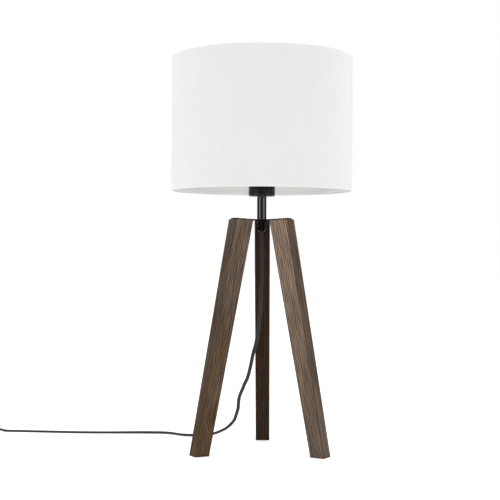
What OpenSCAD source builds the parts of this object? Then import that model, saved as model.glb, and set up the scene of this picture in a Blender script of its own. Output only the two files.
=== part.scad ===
// Tripod table lamp: three splayed wooden legs under a Y-shaped steel plate, a short stem with
// a lampholder and bulb, and a straight fabric drum shade. Millimetres, +Z up. The origin is on
// the floor under the stem, and the back leg points to +Y.

/* [Legs] */
// Height of a leg's top, at the middle of the leg
leg_h = 347.5; // [300:0.5:400]
// Distance of a leg's middle from the stem's axis, at the top
leg_top_r = 35; // [34:0.5:42]
// Distance of a leg's middle from the stem's axis, at the foot
leg_foot_r = 102.5; // [80:0.5:120]
// Width of a leg, at the top
leg_top_w = 23; // [20:0.5:28]
// Width of a leg, at the foot
leg_foot_w = 21.5; // [18:0.5:28]
// Depth of a leg along its splay, at the top
leg_top_d = 30; // [26:0.5:34]
// Depth of a leg along its splay, at the foot
leg_foot_d = 23; // [18:0.5:30]
// Rounding of a leg's long edges
leg_edge = 1.2; // [0.5:0.1:4]

/* [Plate] */
// Thickness of the plate
plate_t = 2; // [1.5:0.1:4]
// Reach of an arm's end from the axis
arm_reach = 48; // [46:0.5:50]
// Width of an arm at its end
arm_w = 16; // [14:0.5:22]
// Distance of the waist between two arms from the axis
waist_r = 12; // [12:0.5:16]
// Angle at which the arms rise from the flat hub, in degrees
arm_rise = 2.5; // [0:0.1:5]
// Radius of the plate's flat hub
hub_r = 11; // [9.5:0.5:11.5]

/* [Leg screws] */
// Distance of the inner row of screws from the axis
screw_in_r = 32.5; // [30:0.5:34]
// Distance from one screw to the next on an arm
screw_step = 9.5; // [9:0.5:11]
// Diameter of a screw's shank
screw_d = 4; // [3:0.1:5]
// Diameter of a screw's countersunk head
screw_head_d = 7.5; // [6:0.1:9]
// Depth of a screw's head
screw_head_t = 1.6; // [1:0.1:2]
// Length of a screw
screw_l = 25; // [15:1:28]

/* [Stem] */
// Length of the stem tube
stem_l = 34; // [20:0.5:80]
// Outer diameter of the stem tube
stem_d = 14; // [12.5:0.1:20]
// Diameter of the hollow rod inside the stem
rod_d = 10; // [9:0.1:11]
// Bore of the hollow rod
rod_bore_d = 8; // [7.5:0.1:8.4]
// Width across the flats of the nut under the plate
nut_w = 16; // [14:0.5:20]
// Thickness of the nut under the plate
nut_t = 2.2; // [1.5:0.1:5]

/* [Cord grip] */
// Outer diameter of the cord grip
grip_d = 11; // [10:0.1:13]
// Length of the cord grip below the nut
grip_l = 14.4; // [12:0.1:24]
// Length of the grip's spigot inside the rod
spigot_l = 8; // [5:0.5:12]
// Bore of the cord grip
grip_bore_d = 6.2; // [6:0.1:6.6]
// Height of the clamping screw above the grip's lower end
grip_screw_z = 4.5; // [3.5:0.1:8]
// Diameter of the clamping screw's head
grip_screw_head_d = 4.6; // [4:0.1:6]
// How far the clamping screw's head stands out
grip_screw_head_t = 1.5; // [1:0.1:3]

/* [Lampholder] */
// Outer diameter of the cup
cap_d = 40; // [38:0.5:46]
// Height of the cup
cap_h = 22; // [20:0.5:30]
// Wall of the cup
cap_wall = 2.2; // [1.5:0.1:2.6]
// Thickness of the cup's floor
cap_floor = 3; // [2:0.1:4]
// Rounding of the cup's lower edge
cap_round = 3; // [1:0.1:5]
// Height of the ledge inside the cup that carries the insert
ledge_h = 11; // [10:0.5:12]
// Outer diameter of the sleeve's shoulder
shoulder_d = 44; // [42:0.5:50]
// Thickness of the sleeve's shoulder
shoulder_t = 2.6; // [2:0.1:4]
// Outer diameter of the sleeve's thread
sleeve_d = 39.4; // [38:0.1:39.6]
// Height of the sleeve above its shoulder
sleeve_h = 27; // [24:0.5:30]
// Height of the insert that carries the contacts
insert_h = 12; // [11:0.5:13]
// Bore of the threaded shell for the bulb
shell_bore_d = 26.6; // [26.5:0.1:27.2]
// Wall of the threaded shell
shell_t = 0.5; // [0.3:0.1:0.6]
// Pitch of the bulb's thread
bulb_pitch = 3.6; // [3:0.1:4]

/* [Shade] */
// Outer diameter of the shade
shade_d = 272; // [200:1:300]
// Height of the shade
shade_h = 201; // [160:1:240]
// How far the shade's lower edge hangs below the holder's shoulder
shade_drop = 16.3; // [10:0.1:19]
// Thickness of the fabric
fabric_t = 0.5; // [0.4:0.1:1.5]
// Thickness of the liner behind the fabric
liner_t = 0.4; // [0.3:0.1:1.5]
// Diameter of the wire rings in the hems
wire_d = 2.6; // [2:0.1:4]
// Diameter of a spoke
spoke_d = 3; // [2:0.1:4]
// Outer diameter of the fitter ring
fitter_d = 56; // [54:0.5:64]
// Thickness of the fitter ring
fitter_t = 1.2; // [0.8:0.1:2]
// Outer diameter of the threaded ring that clamps the shade
clamp_d = 57; // [50:0.5:62]
// Height of the threaded ring
clamp_h = 8; // [6:0.5:10]
// Number of grip notches round the threaded ring
clamp_notches = 24; // [12:1:36]

/* [Bulb] */
// Diameter of the bulb's globe
globe_d = 60; // [50:1:70]
// Height of the whole bulb
bulb_h = 108; // [100:1:125]
// Wall of the globe
globe_t = 1.2; // [0.8:0.1:2]
// Diameter over the bulb's thread
bulb_thread_d = 26.2; // [25.9:0.1:26.3]
// Height of the bulb's housing above its thread
housing_h = 34; // [28:1:38]

/* [Cord] */
// Width of the flat cord
cord_w = 5.4; // [5:0.1:5.6]
// Thickness of the flat cord
cord_t = 3.4; // [3:0.1:3.6]
// Diameter of one insulated core
core_d = 2; // [1.5:0.1:2.2]
// Radius of the coil's outermost turn, at the cord's middle
coil_out_r = 36; // [34:0.5:38]
// Number of turns in the coil, both layers together
coil_turns = 4.5; // [2.5:2:4.5]
// Gap between one turn of the coil and the next
coil_gap = 0.5; // [0.5:0.1:0.6]
// Thickness of the coil's tie
tie_t = 0.8; // [0.5:0.1:1.2]
// Width of the coil's tie
tie_w = 6; // [4:0.5:8]

/* [Switch] */
// Length of the inline switch
switch_l = 80; // [72:1:90]
// Width of the inline switch
switch_w = 28; // [26:0.5:34]
// Height of the inline switch
switch_h = 19; // [19:0.5:23]
// Height of the joint between its base and its cover
switch_split = 9; // [8.5:0.1:9.2]
// Wall of the switch's two shells
switch_wall = 1.8; // [1.4:0.1:2.2]
// Length of the rocker
rocker_l = 14; // [12:0.5:14.5]
// Width of the rocker
rocker_w = 8.4; // [7:0.1:9]
// Angle that the rocker turns through, in degrees
rocker_swing = 16; // [10:1:18]

/* [Plug] */
// Length of the plug's body
plug_l = 34; // [30:1:40]
// Width of the plug's body
plug_w = 35; // [34:0.5:38]
// Thickness of the plug's body
plug_t = 14; // [13:0.5:16]
// Distance between the two pins
pin_spacing = 18.6; // [17:0.1:19.5]
// Diameter of a pin
pin_d = 4; // [3.8:0.1:4.8]
// Length of a pin outside the body
pin_l = 19; // [15:0.5:20]
// Length of the plug's strain relief
relief_l = 26; // [20:1:27]

/* [Hidden] */
$fn = 64;

// Directions in which the legs, the plate's arms and the spokes point
azimuths = [-150, -30, 90];

// Clearances
head_sink = 0.15;  // of the screws' heads below the plate's face
thread_gap = 0.05; // between a thread's core and its hole, on the radius
slide_gap = 0.2;   // between pieces that are pushed together, on the radius
hole_gap = 0.2;    // round a rod or screw that passes through, on the radius
turn_gap = 0.3;    // between the holder and what turns on it, on the radius
face_gap = 0.1;    // between the fitter ring and the ring that clamps it
rest_gap = 0.3;    // between a piece at rest and the springy thing under it
pin_gap = 0.06;    // round the rocker's pivot pins, on the radius

// Heights
rise = tan(arm_rise);
hub_z = leg_h - (leg_top_r - hub_r) * rise;   // underside of the plate's hub
stem_z = hub_z + plate_t;                     // lower end of the stem tube
cap_z = stem_z + stem_l;                      // underside of the cup
cap_top = cap_z + cap_h;
seat_z = cap_top + shoulder_t;                // shoulder that the shade rests on
sleeve_top = seat_z + sleeve_h;
nut_z = hub_z - nut_t;
grip_z = nut_z - grip_l;                      // mouth that the cord comes out of
shade_z = seat_z - shade_drop;
shade_top = shade_z + shade_h;

// Lampholder, inside
cap_r = cap_d / 2;
cap_bore_r = cap_r - cap_wall;
ledge_z = cap_z + ledge_h;
ledge_in_r = 13.5;
ledge_t = 2;
skirt_l = 10;
skirt_wall = 1.8;
skirt_r = cap_bore_r - slide_gap;
insert_r = skirt_r - skirt_wall - slide_gap;
insert_top = ledge_z + insert_h;
locknut_w = 14;
locknut_t = 2.5;
rod_top = cap_z + cap_floor + locknut_t + 1.5;
well_r = 6.5;
well_depth = 3;
shell_in_r = shell_bore_d / 2;
thread_depth = 0.8;
shell_out_r = shell_in_r + thread_depth + shell_t;
shell_top = sleeve_top - 2;
terminal_x = 8;
terminal_size = [6, 5, 6.5];
terminal_screw_y = 1.3;
terminal_screw_r = 0.9;
core_y = -1.4;
terminal_z = ledge_z + 1.5;

// Shade, inside
shade_r = shade_d / 2;
wire_r = wire_d / 2;
hem_bore_r = wire_r + thread_gap;
hem_r = hem_bore_r + fabric_t;
hem_at_r = shade_r - hem_r;
glue_gap = 0.05;
spoke_in_r = shoulder_d / 2 + 2.5;
spoke_in_z = seat_z - spoke_d / 2 + 0.2;      // welded 0.2 into the fitter ring
fitter_in_r = sleeve_d / 2 + turn_gap;
clamp_z = seat_z + fitter_t + face_gap;

// Bulb
tip_z = insert_top + 2.8;
tip_t = 1;
tip_r = 4.6;
insulator_h = 2.6;
bulb_cap_h = 23;
bulb_cap_t = 0.4;
bulb_wall = 1.5;
bulb_thread_r = bulb_thread_d / 2;
insulator_z = tip_z + tip_t;
bulb_cap_z = insulator_z + insulator_h;
housing_z = bulb_cap_z + bulb_cap_h;
board_z = housing_z + housing_h - 2;
globe_r = globe_d / 2;
bulb_top = tip_z + bulb_h;
globe_c_z = bulb_top - globe_r;
globe_cut_z = housing_z + housing_h;
neck_r = sqrt(pow(globe_r, 2) - pow(globe_c_z - globe_cut_z, 2));

// Cord: it hangs from the grip, comes down behind the left leg and runs off to the left. The
// points are the cord's middle line.
floor_z = cord_t / 2;
cord_y = 146;
switch_x = -462 - switch_l / 2;
plug_face_x = -501;
coil_x = -592;
coil_y = cord_y - coil_out_r;
plug_y = coil_y - coil_out_r;
plug_z = plug_t / 2;
coil_pitch = cord_w + coil_gap;
coil_layer = cord_t + coil_gap;
coil_flat = sin(60);                          // a six-sided cord is flatter by this share
coil_z = tie_t + rest_gap + coil_flat * cord_t / 2;
ring_gap = 14;                                // length of cord from one ring to the next
lie_flat_z = 120;                             // height below which the flat cord turns over
lead_route = [
    [0, 0, grip_z], [0, 0, 318], [1, 0, 304], [1, 1, 285], [1, 2, 265], [0, 3, 245],
    [-1, 5, 225], [-3, 8, 197], [-6, 12, 173], [-9, 16, 158], [-13, 21, 143], [-17, 30, 124],
    [-22, 41, 105], [-27, 48, 94], [-31, 54, 84], [-35, 60, 74], [-37, 66, 64], [-38, 72, 53],
    [-41, 80, 43], [-45, 88, 32], [-54, 96, 21], [-65, 104, 13], [-80, 113, 6],
    [-97, 119, 2], [-115, 120, floor_z], [-128, 122, floor_z], [-139, 129, floor_z],
    [-149, 137, floor_z], [-161, 142, floor_z], [-180, 143, floor_z], [-215, 142, floor_z],
    [-260, 140, floor_z], [-310, 140, floor_z], [-360, 143, floor_z], [-405, cord_y, floor_z],
    [-425, cord_y, 2], [-438, cord_y, 5], [-452, cord_y, switch_split], [-462, cord_y, switch_split]
];
tail_route = [
    [switch_x - switch_l / 2, cord_y, switch_split], [-550, cord_y, switch_split],
    [-565, cord_y, 5], [-578, cord_y, coil_z], [coil_x + cord_w, cord_y, coil_z]
];
end_route = [
    [coil_x + cord_w, plug_y, coil_z + coil_layer], [-580, plug_y, coil_z + coil_layer],
    [-568, plug_y, plug_z], [plug_face_x - plug_l - relief_l, plug_y, plug_z]
];

function unit(v) = v / norm(v);

// A point on the smooth curve through p, between p[i] and p[i + 1]
function smooth(p, i, u) =
    let (b = p[i], c = p[i + 1], a = p[max(i - 1, 0)], d = p[min(i + 2, len(p) - 1)])
    (2 * b + (c - a) * u + (2 * a - 5 * b + 4 * c - d) * u * u
        + (3 * b - a - 3 * c + d) * u * u * u) / 2;

function steps(p, i) = max(1, round(norm(p[i + 1] - p[i]) / ring_gap));

function smooth_path(p) = [
    for (i = [0 : len(p) - 2]) for (k = [0 : steps(p, i) - 1]) smooth(p, i, k / steps(p, i)),
    p[len(p) - 1]
];

function path_length(p) =
    len(p) < 2 ? 0 : [for (i = [0 : len(p) - 2]) norm(p[i + 1] - p[i])]
        * [for (i = [0 : len(p) - 2]) 1];

function along(p, i) = unit(p[min(i + 1, len(p) - 1)] - p[max(i - 1, 0)]);

// The direction that the flat cord's thin side faces, at height z
function thin_side(z) = let (u = min(z / lie_flat_z, 1)) unit([0, u, 1 - u]);

// One ring of a flat cord's surface round the point at
function cord_ring(at, t, thin, sides, w, h) =
    let (s = unit(cross(t, thin)), m = cross(t, s))
    [for (k = [0 : sides - 1]) let (a = 360 * (k + (sides == 8 ? 0.5 : 0)) / sides)
        at + s * cos(a) * w / 2 + m * sin(a) * h / 2];

function free_cord(route) =
    let (p = smooth_path(route))
    [for (i = [0 : len(p) - 1]) cord_ring(p[i], along(p, i), thin_side(p[i].z), 8, cord_w, cord_t)];

function core(p) = [for (i = [0 : len(p) - 1]) cord_ring(p[i], along(p, i), [0, 1, 0], 8, core_d, core_d)];

// The coil spirals in on the lower layer, climbs in half a turn, and spirals out on the upper one
function climb(t) = let (u = min(max((t - coil_turns / 2) * 2 + 0.5, 0), 1)) u * u * (3 - 2 * u);

function coil_point(t) =
    let (r = coil_out_r - coil_pitch * (coil_turns / 2 - abs(t - coil_turns / 2)), a = 90 + 360 * t)
    [coil_x + r * cos(a), coil_y + r * sin(a), coil_z + coil_layer * climb(t)];

coil_steps = 24;

function coil_path() = [
    coil_point(0) + [cord_w, 0, 0],
    for (i = [0 : coil_turns * coil_steps]) coil_point(i / coil_steps),
    coil_point(coil_turns) + [cord_w, 0, 0]
];

function coil_rings() = let (p = coil_path())
    [for (i = [0 : len(p) - 1])
        cord_ring(p[i], i == 0 ? [-1, 0, 0] : i == len(p) - 1 ? [1, 0, 0] : along(p, i),
            [0, 0, 1], 6, cord_w, cord_t)];

// Least distance between points of two stretches of the coil that are over half a turn apart
function coil_clearance(rings) = min([
    for (i = [0 : len(rings) - 1]) for (j = [i + coil_steps / 2 + 1 : 1 : len(rings) - 1])
        if (norm(rings[i][0] - rings[j][0]) < 3 * cord_w)
            min([for (a = rings[i]) for (b = rings[j]) norm(a - b)])
]);

// Corner points of a rectangle with rounded corners, anticlockwise
function rounded_rect(x, d, w, r) = [
    for (c = [[1, 1, 0], [-1, 1, 90], [-1, -1, 180], [1, -1, 270]]) for (k = [0 : 4])
        let (a = c[2] + k * 22.5) [x + c.x * (d / 2 - r) + r * cos(a), c.y * (w / 2 - r) + r * sin(a)]
];

// Points of an arc, for a turned profile
function arc(x, z, r, from, to, n = 6) = [
    for (k = [0 : n]) let (a = from + (to - from) * k / n) [x + r * cos(a), z + r * sin(a)]
];

// Profile of a turned thread: rings that run between two radii, one at each pitch
function thread(low_r, high_r, from_z, to_z, pitch) =
    let (n = floor((to_z - from_z) / pitch), step = (to_z - from_z) / n)
    [for (k = [0 : n - 1]) each [[low_r, from_z + k * step], [high_r, from_z + (k + 0.5) * step]],
        [low_r, to_z]];

// A closed skin over a row of rings, each anticlockwise seen from the row's far end
module skin(rings) {
    n = len(rings[0]);
    end = (len(rings) - 1) * n;
    polyhedron(
        points = [for (ring = rings) each ring],
        faces = [
            for (k = [1 : n - 2]) [0, k, k + 1],
            for (i = [0 : len(rings) - 2]) for (k = [0 : n - 1])
                let (a = i * n + k, b = i * n + (k + 1) % n) each [[a, a + n, b + n], [a, b + n, b]],
            for (k = [1 : n - 2]) [end, end + k + 1, end + k]
        ]
    );
}

module tube(r, bore_r, h) {
    difference() {
        cylinder(r = r, h = h);
        translate([0, 0, -1]) cylinder(r = bore_r, h = h + 2);
    }
}

module hex_nut(w, bore_r, t) {
    difference() {
        cylinder(d = w / cos(30), h = t, $fn = 6);
        translate([0, 0, -1]) cylinder(r = bore_r, h = t + 2);
    }
}

// A flat cord's own section: two cores side by side under one sheath
module cord_section(w, t) {
    square([w - t, t], center = true);
    for (side = [-1, 1]) translate([side * (w - t) / 2, 0]) circle(d = t);
}

// A cross slot cut into a screw's head, from the top down
module cross_slot(l, w, depth) {
    for (a = [0, 90]) rotate([0, 0, a]) translate([-l / 2, -w / 2, -depth]) cube([l, w, depth + 1]);
}

// Lays out what an arm carries along its top, square to the risen arm
module at_arm_screws() {
    for (a = azimuths) for (k = [0, 1])
        let (r = screw_in_r + k * screw_step)
        rotate([0, 0, a]) translate([r, 0, stem_z + (r - hub_r) * rise]) rotate([0, -arm_rise, 0])
            translate([0, 0, -head_sink]) children();
}

module screw_shape(gap) {
    translate([0, 0, -screw_l]) cylinder(r = screw_d / 2 + gap, h = screw_l);
    translate([0, 0, -screw_head_t])
        cylinder(r1 = screw_d / 2 + gap, r2 = screw_head_d / 2 + gap, h = screw_head_t);
}

module leg(azimuth) {
    difference() {
        rotate([0, 0, azimuth]) skin([
            [for (p = rounded_rect(leg_foot_r, leg_foot_d, leg_foot_w, leg_edge)) [p.x, p.y, 0]],
            [for (p = rounded_rect(leg_top_r, leg_top_d, leg_top_w, leg_edge))
                [p.x, p.y, leg_h + (p.x - leg_top_r) * rise]]
        ]);
        at_arm_screws() translate([0, 0, -screw_l - 1])
            cylinder(r = screw_d / 2 + thread_gap, h = screw_l + 2);
    }
}

module leg_left() { color("#5b4a3f") leg(azimuths[0]); }
module leg_right() { color("#5b4a3f") leg(azimuths[1]); }
module leg_back() { color("#4a3a30") leg(azimuths[2]); }

// The plate seen from above: three arms with a round hollow between each two
module plate_outline() {
    corner_across = arm_reach * sin(60) - arm_w / 2 * cos(60);
    corner_out = arm_reach * cos(60) + arm_w / 2 * sin(60);
    sag = corner_out - waist_r;
    hollow_r = (pow(corner_across, 2) + pow(sag, 2)) / (2 * sag);
    difference() {
        polygon([for (a = azimuths) each [
            [arm_reach * cos(a) + arm_w / 2 * sin(a), arm_reach * sin(a) - arm_w / 2 * cos(a)],
            [arm_reach * cos(a) - arm_w / 2 * sin(a), arm_reach * sin(a) + arm_w / 2 * cos(a)]
        ]]);
        for (a = azimuths) rotate([0, 0, a + 60]) translate([waist_r + hollow_r, 0])
            circle(r = hollow_r, $fn = 180);
    }
}

// The plate's hub: a flat piece that reaches past the waists and stops short of the bends
module plate_hub() {
    translate([0, 0, hub_z]) linear_extrude(plate_t) intersection() {
        plate_outline();
        rotate([0, 0, azimuths[0] + 180]) circle(r = 2 * (hub_r - 2), $fn = 3);
    }
}

// One arm, from inside the hub over its bend to its end
module plate_arm() {
    far = arm_reach + arm_w;
    intersection() {
        translate([0, 0, hub_z - 1]) linear_extrude(far * rise + plate_t + 2) intersection() {
            rotate([0, 0, -azimuths[0]]) plate_outline();
            translate([hub_r - 3, -far]) square([far, 2 * far]);
        }
        translate([0, far, 0]) rotate([90, 0, 0]) linear_extrude(2 * far) polygon([
            [0, hub_z], [hub_r, hub_z], [far, hub_z + (far - hub_r) * rise],
            [far, stem_z + (far - hub_r) * rise], [hub_r, stem_z], [0, stem_z]
        ]);
    }
}

module top_plate() {
    color("#151515") difference() {
        union() {
            plate_hub();
            for (a = azimuths) rotate([0, 0, a]) plate_arm();
        }
        translate([0, 0, hub_z - 1]) cylinder(r = rod_d / 2 + hole_gap, h = plate_t + 2);
        at_arm_screws() screw_shape(thread_gap);
        at_arm_screws() cylinder(r = screw_head_d / 2 + thread_gap, h = 2);
    }
}

module leg_screws() {
    color("#202020") at_arm_screws() difference() {
        screw_shape(0);
        cross_slot(4, 0.9, 1);
    }
}

module stem_tube() {
    color("#141414") translate([0, 0, stem_z]) tube(stem_d / 2, rod_d / 2 + hole_gap, stem_l);
}

module threaded_rod() {
    color("#8b8a84") translate([0, 0, nut_z]) tube(rod_d / 2, rod_bore_d / 2, rod_top - nut_z);
}

module lower_nut() {
    color("#1a1a1a") translate([0, 0, nut_z]) hex_nut(nut_w, rod_d / 2 + thread_gap, nut_t);
}

grip_screw_r = 1.5;

module cord_grip() {
    lip_w = 2;
    lip_h = 3;
    color("#101010") difference() {
        rotate_extrude() polygon(concat(
            [[grip_bore_d / 2, grip_z]],
            [for (a = [0 : 15 : 90]) [grip_d / 2 - lip_w * (1 - sin(a)), grip_z + lip_h * (1 - cos(a))]],
            [[grip_d / 2, nut_z], [rod_bore_d / 2 - thread_gap, nut_z],
                [rod_bore_d / 2 - thread_gap, nut_z + spigot_l], [grip_bore_d / 2, nut_z + spigot_l]]
        ));
        translate([0, 0, grip_z + grip_screw_z]) rotate([0, -90, 0])
            cylinder(r = grip_screw_r + thread_gap, h = grip_d);
    }
}

module grip_screw() {
    tip_x = cord_w / 2 + thread_gap;
    color("#0d0d0d") translate([0, 0, grip_z + grip_screw_z]) rotate([0, -90, 0]) {
        translate([0, 0, tip_x]) cylinder(r = grip_screw_r, h = grip_d / 2 - tip_x + 0.5);
        difference() {
            translate([0, 0, grip_d / 2]) cylinder(d = grip_screw_head_d, h = grip_screw_head_t);
            translate([-grip_screw_head_d, -0.35, grip_d / 2 + grip_screw_head_t - 0.6])
                cube([2 * grip_screw_head_d, 0.7, 1]);
        }
    }
}

module holder_cap() {
    color("#121214") rotate_extrude() polygon(concat(
        [[rod_d / 2 + hole_gap, cap_z]],
        arc(cap_r - cap_round, cap_z + cap_round, cap_round, -90, 0),
        [[cap_r, cap_top], [cap_bore_r, cap_top], [cap_bore_r, ledge_z], [ledge_in_r, ledge_z],
            [ledge_in_r, ledge_z - ledge_t], [cap_bore_r, ledge_z - ledge_t],
            [cap_bore_r, cap_z + cap_floor], [rod_d / 2 + hole_gap, cap_z + cap_floor]]
    ));
}

module holder_locknut() {
    color("#9a9892") translate([0, 0, cap_z + cap_floor])
        hex_nut(locknut_w, rod_d / 2 + thread_gap, locknut_t);
}

module holder_sleeve() {
    color("#121214") rotate_extrude() polygon(concat(
        [[skirt_r - skirt_wall, cap_top - skirt_l], [skirt_r, cap_top - skirt_l], [skirt_r, cap_top],
            [shoulder_d / 2, cap_top], [shoulder_d / 2, seat_z], [sleeve_d / 2 - 0.6, seat_z]],
        thread(sleeve_d / 2 - 0.6, sleeve_d / 2, seat_z + 1.5, sleeve_top - 1, 2.5),
        [[sleeve_d / 2 - 1.2, sleeve_top], [shell_out_r + slide_gap, sleeve_top],
            [shell_out_r + slide_gap, insert_top], [skirt_r - skirt_wall, insert_top]]
    ));
}

module holder_insert() {
    color("#e8e4da") difference() {
        translate([0, 0, ledge_z]) cylinder(r = insert_r, h = insert_h);
        translate([0, 0, insert_top - well_depth]) cylinder(r = well_r, h = well_depth + 1);
        for (side = [-1, 1]) translate([
            side * terminal_x - terminal_size.x / 2 - slide_gap, -terminal_size.y / 2 - slide_gap, ledge_z - 1
        ]) cube([terminal_size.x + 2 * slide_gap, terminal_size.y + 2 * slide_gap,
            terminal_z + terminal_size.z + slide_gap - ledge_z + 1]);
    }
}

module screw_shell() {
    crest = shell_in_r;
    root = shell_in_r + thread_depth;
    low = insert_top;
    inner = thread(crest, root, low + 1, shell_top - 1, bulb_pitch);
    outer = thread(crest + shell_t, root + shell_t, low + 1, shell_top - 1, bulb_pitch);
    color("#c9a24a") rotate_extrude() polygon(concat(
        [[well_r + 2.5, low], [crest + shell_t, low]], outer,
        [[root + shell_t, shell_top], [root, shell_top]],
        [for (i = [len(inner) - 1 : -1 : 0]) inner[i]],
        [[crest, low + shell_t], [well_r + 2.5, low + shell_t]]
    ));
}

module centre_contact() {
    leaf_w = 5;
    leaf_t = 0.5;
    foot_z = insert_top - well_depth;
    top = tip_z - rest_gap;
    color("#c9a24a") translate([0, leaf_w / 2, 0]) rotate([90, 0, 0]) linear_extrude(leaf_w) polygon([
        [-5.5, foot_z], [-1.5, foot_z], [2, top - leaf_t], [4, top - leaf_t], [4, top], [1.7, top],
        [-1.8, foot_z + leaf_t], [-5.5, foot_z + leaf_t]
    ]);
}

module holder_terminals() {
    color("#b8923f") for (side = [-1, 1]) difference() {
        translate([side * terminal_x - terminal_size.x / 2, -terminal_size.y / 2, terminal_z])
            cube(terminal_size);
        translate([side * terminal_x, terminal_screw_y, terminal_z - 1])
            cylinder(r = terminal_screw_r + thread_gap, h = 6);
    }
}

module terminal_screws() {
    head_t = 1;
    color("#8b8a84") for (side = [-1, 1]) translate([side * terminal_x, terminal_screw_y, terminal_z]) {
        cylinder(r = terminal_screw_r, h = 4.5);
        difference() {
            translate([0, 0, -head_t]) cylinder(r = 1.1, h = head_t);
            translate([-2, -0.2, -head_t - 0.6]) cube([4, 0.4, 1]);
        }
    }
}

module shade_ring() {
    collar_r = 23.5;
    rim_t = 2.6;
    bore_r = sleeve_d / 2 + turn_gap;
    color("#131315") translate([0, 0, clamp_z]) difference() {
        rotate_extrude() polygon([
            [bore_r, 0], [clamp_d / 2, 0], [clamp_d / 2, rim_t - 0.6], [clamp_d / 2 - 0.6, rim_t],
            [collar_r, rim_t], [collar_r, clamp_h - 0.6], [collar_r - 0.6, clamp_h], [bore_r, clamp_h]
        ]);
        for (k = [0 : clamp_notches - 1]) rotate([0, 0, 360 * k / clamp_notches])
            translate([clamp_d / 2 + 0.5, 0, -1]) cylinder(r = 1.4, h = rim_t + 2, $fn = 16);
    }
}

// One spoke, straight from the fitter ring down to the lower wire
module spoke(r, past) {
    run = hem_at_r - wire_r - thread_gap - spoke_in_r;
    fall = spoke_in_z - (shade_z + hem_r);
    translate([spoke_in_r, 0, spoke_in_z]) rotate([0, 90 + atan(fall / run), 0])
        cylinder(r = r, h = norm([run, fall]) + past);
}

module shade_fabric() {
    color("#f6f5f2") difference() {
        rotate_extrude($fn = 180) {
            translate([shade_r - fabric_t, shade_z + hem_r]) square([fabric_t, shade_h - 2 * hem_r]);
            for (z = [shade_z + hem_r, shade_top - hem_r]) translate([hem_at_r, z]) difference() {
                circle(r = hem_r, $fn = 32);
                circle(r = hem_bore_r, $fn = 32);
            }
        }
        for (a = azimuths) rotate([0, 0, a]) spoke(spoke_d / 2 + slide_gap, 0.4);
    }
}

module shade_liner() {
    outer_r = shade_r - fabric_t - glue_gap;
    foot = 2 * hem_r + slide_gap;
    color("#efeeea") translate([0, 0, shade_z + foot])
        tube(outer_r, outer_r - liner_t, shade_h - 2 * foot, $fn = 180);
}

module wire_ring(z) {
    color("#d8d8d4") rotate_extrude($fn = 180) translate([hem_at_r, z]) circle(r = wire_r, $fn = 32);
}

module shade_top_wire() { wire_ring(shade_top - hem_r); }
module shade_bottom_wire() { wire_ring(shade_z + hem_r); }

module shade_spider() {
    color("#ecece8") {
        translate([0, 0, seat_z]) tube(fitter_d / 2, fitter_in_r, fitter_t);
        for (a = azimuths) rotate([0, 0, a]) spoke(spoke_d / 2, 0);
    }
}

module bulb_globe() {
    color([0.97, 0.97, 0.95]) difference() {
        translate([0, 0, globe_c_z]) sphere(r = globe_r);
        translate([0, 0, globe_c_z]) sphere(r = globe_r - globe_t);
        translate([0, 0, globe_cut_z - globe_d]) cylinder(r = globe_d, h = globe_d);
    }
}

module bulb_housing() {
    collar_h = 4;
    collar_r = bulb_thread_r + 0.2;
    flare = neck_r - collar_r;
    foot_r = bulb_thread_r - 0.6;
    color("#f2f1ee") rotate_extrude() polygon(concat(
        [[foot_r - bulb_wall, housing_z], [foot_r, housing_z], [collar_r, housing_z + collar_h]],
        [for (k = [1 : 6]) let (u = k / 6)
            [collar_r + flare * (0.6 * u + 0.4 * (1 - cos(90 * u))),
                housing_z + collar_h + (housing_h - collar_h) * u]],
        [[neck_r - bulb_wall, globe_cut_z], [neck_r - bulb_wall, board_z],
            [neck_r - bulb_wall - 3, board_z - 4], [foot_r - bulb_wall, housing_z + 6]]
    ));
}

module bulb_screw_cap() {
    low_r = bulb_thread_r - thread_depth;
    inner_low = low_r - bulb_cap_t;
    outer = thread(low_r, bulb_thread_r, bulb_cap_z, housing_z - 3, bulb_pitch);
    color("#c4c3bf") rotate_extrude() polygon(concat(
        [[inner_low, bulb_cap_z]], outer,
        [[bulb_thread_r - 0.2, housing_z - 2.5], [bulb_thread_r - 0.2, housing_z], [inner_low, housing_z]]
    ));
}

module bulb_insulator() {
    color("#1c1c1c") rotate_extrude() polygon([
        [0, insulator_z], [tip_r + 0.6, insulator_z], [bulb_thread_r - 3, bulb_cap_z - 0.6],
        [bulb_thread_r - thread_depth, bulb_cap_z], [0, bulb_cap_z]
    ]);
}

module bulb_tip_contact() {
    color("#b9b8b4") rotate_extrude() polygon([
        [0, tip_z], [tip_r - 1.2, tip_z], [tip_r, tip_z + 0.6], [tip_r, insulator_z], [0, insulator_z]
    ]);
}

module bulb_led_board() {
    board_t = 1.5;
    chip_ring_r = 14;
    chip = 3;
    color("#e9e9e4") translate([0, 0, board_z]) {
        cylinder(r = neck_r - bulb_wall - slide_gap, h = board_t);
        for (k = [0 : 7]) rotate([0, 0, 45 * k]) translate([chip_ring_r - chip / 2, -chip / 2, board_t / 2])
            cube([chip, chip, board_t / 2 + 0.8]);
    }
}

module bulb_driver_board() {
    color("#3d7a4a") translate([-8, -0.8, bulb_cap_z + 0.2]) {
        cube([16, 1.6, board_z - bulb_cap_z - 0.2]);
        translate([3, 1.6, 26]) cube([6, 4, 10]);
        translate([4, -3.4, 14]) cube([6, 3.4, 8]);
    }
}

module cord_inner() {
    color("#2b2b2d") translate([0, 0, grip_z]) linear_extrude(cap_z + 4 - grip_z)
        cord_section(cord_w, cord_t);
}

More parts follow.
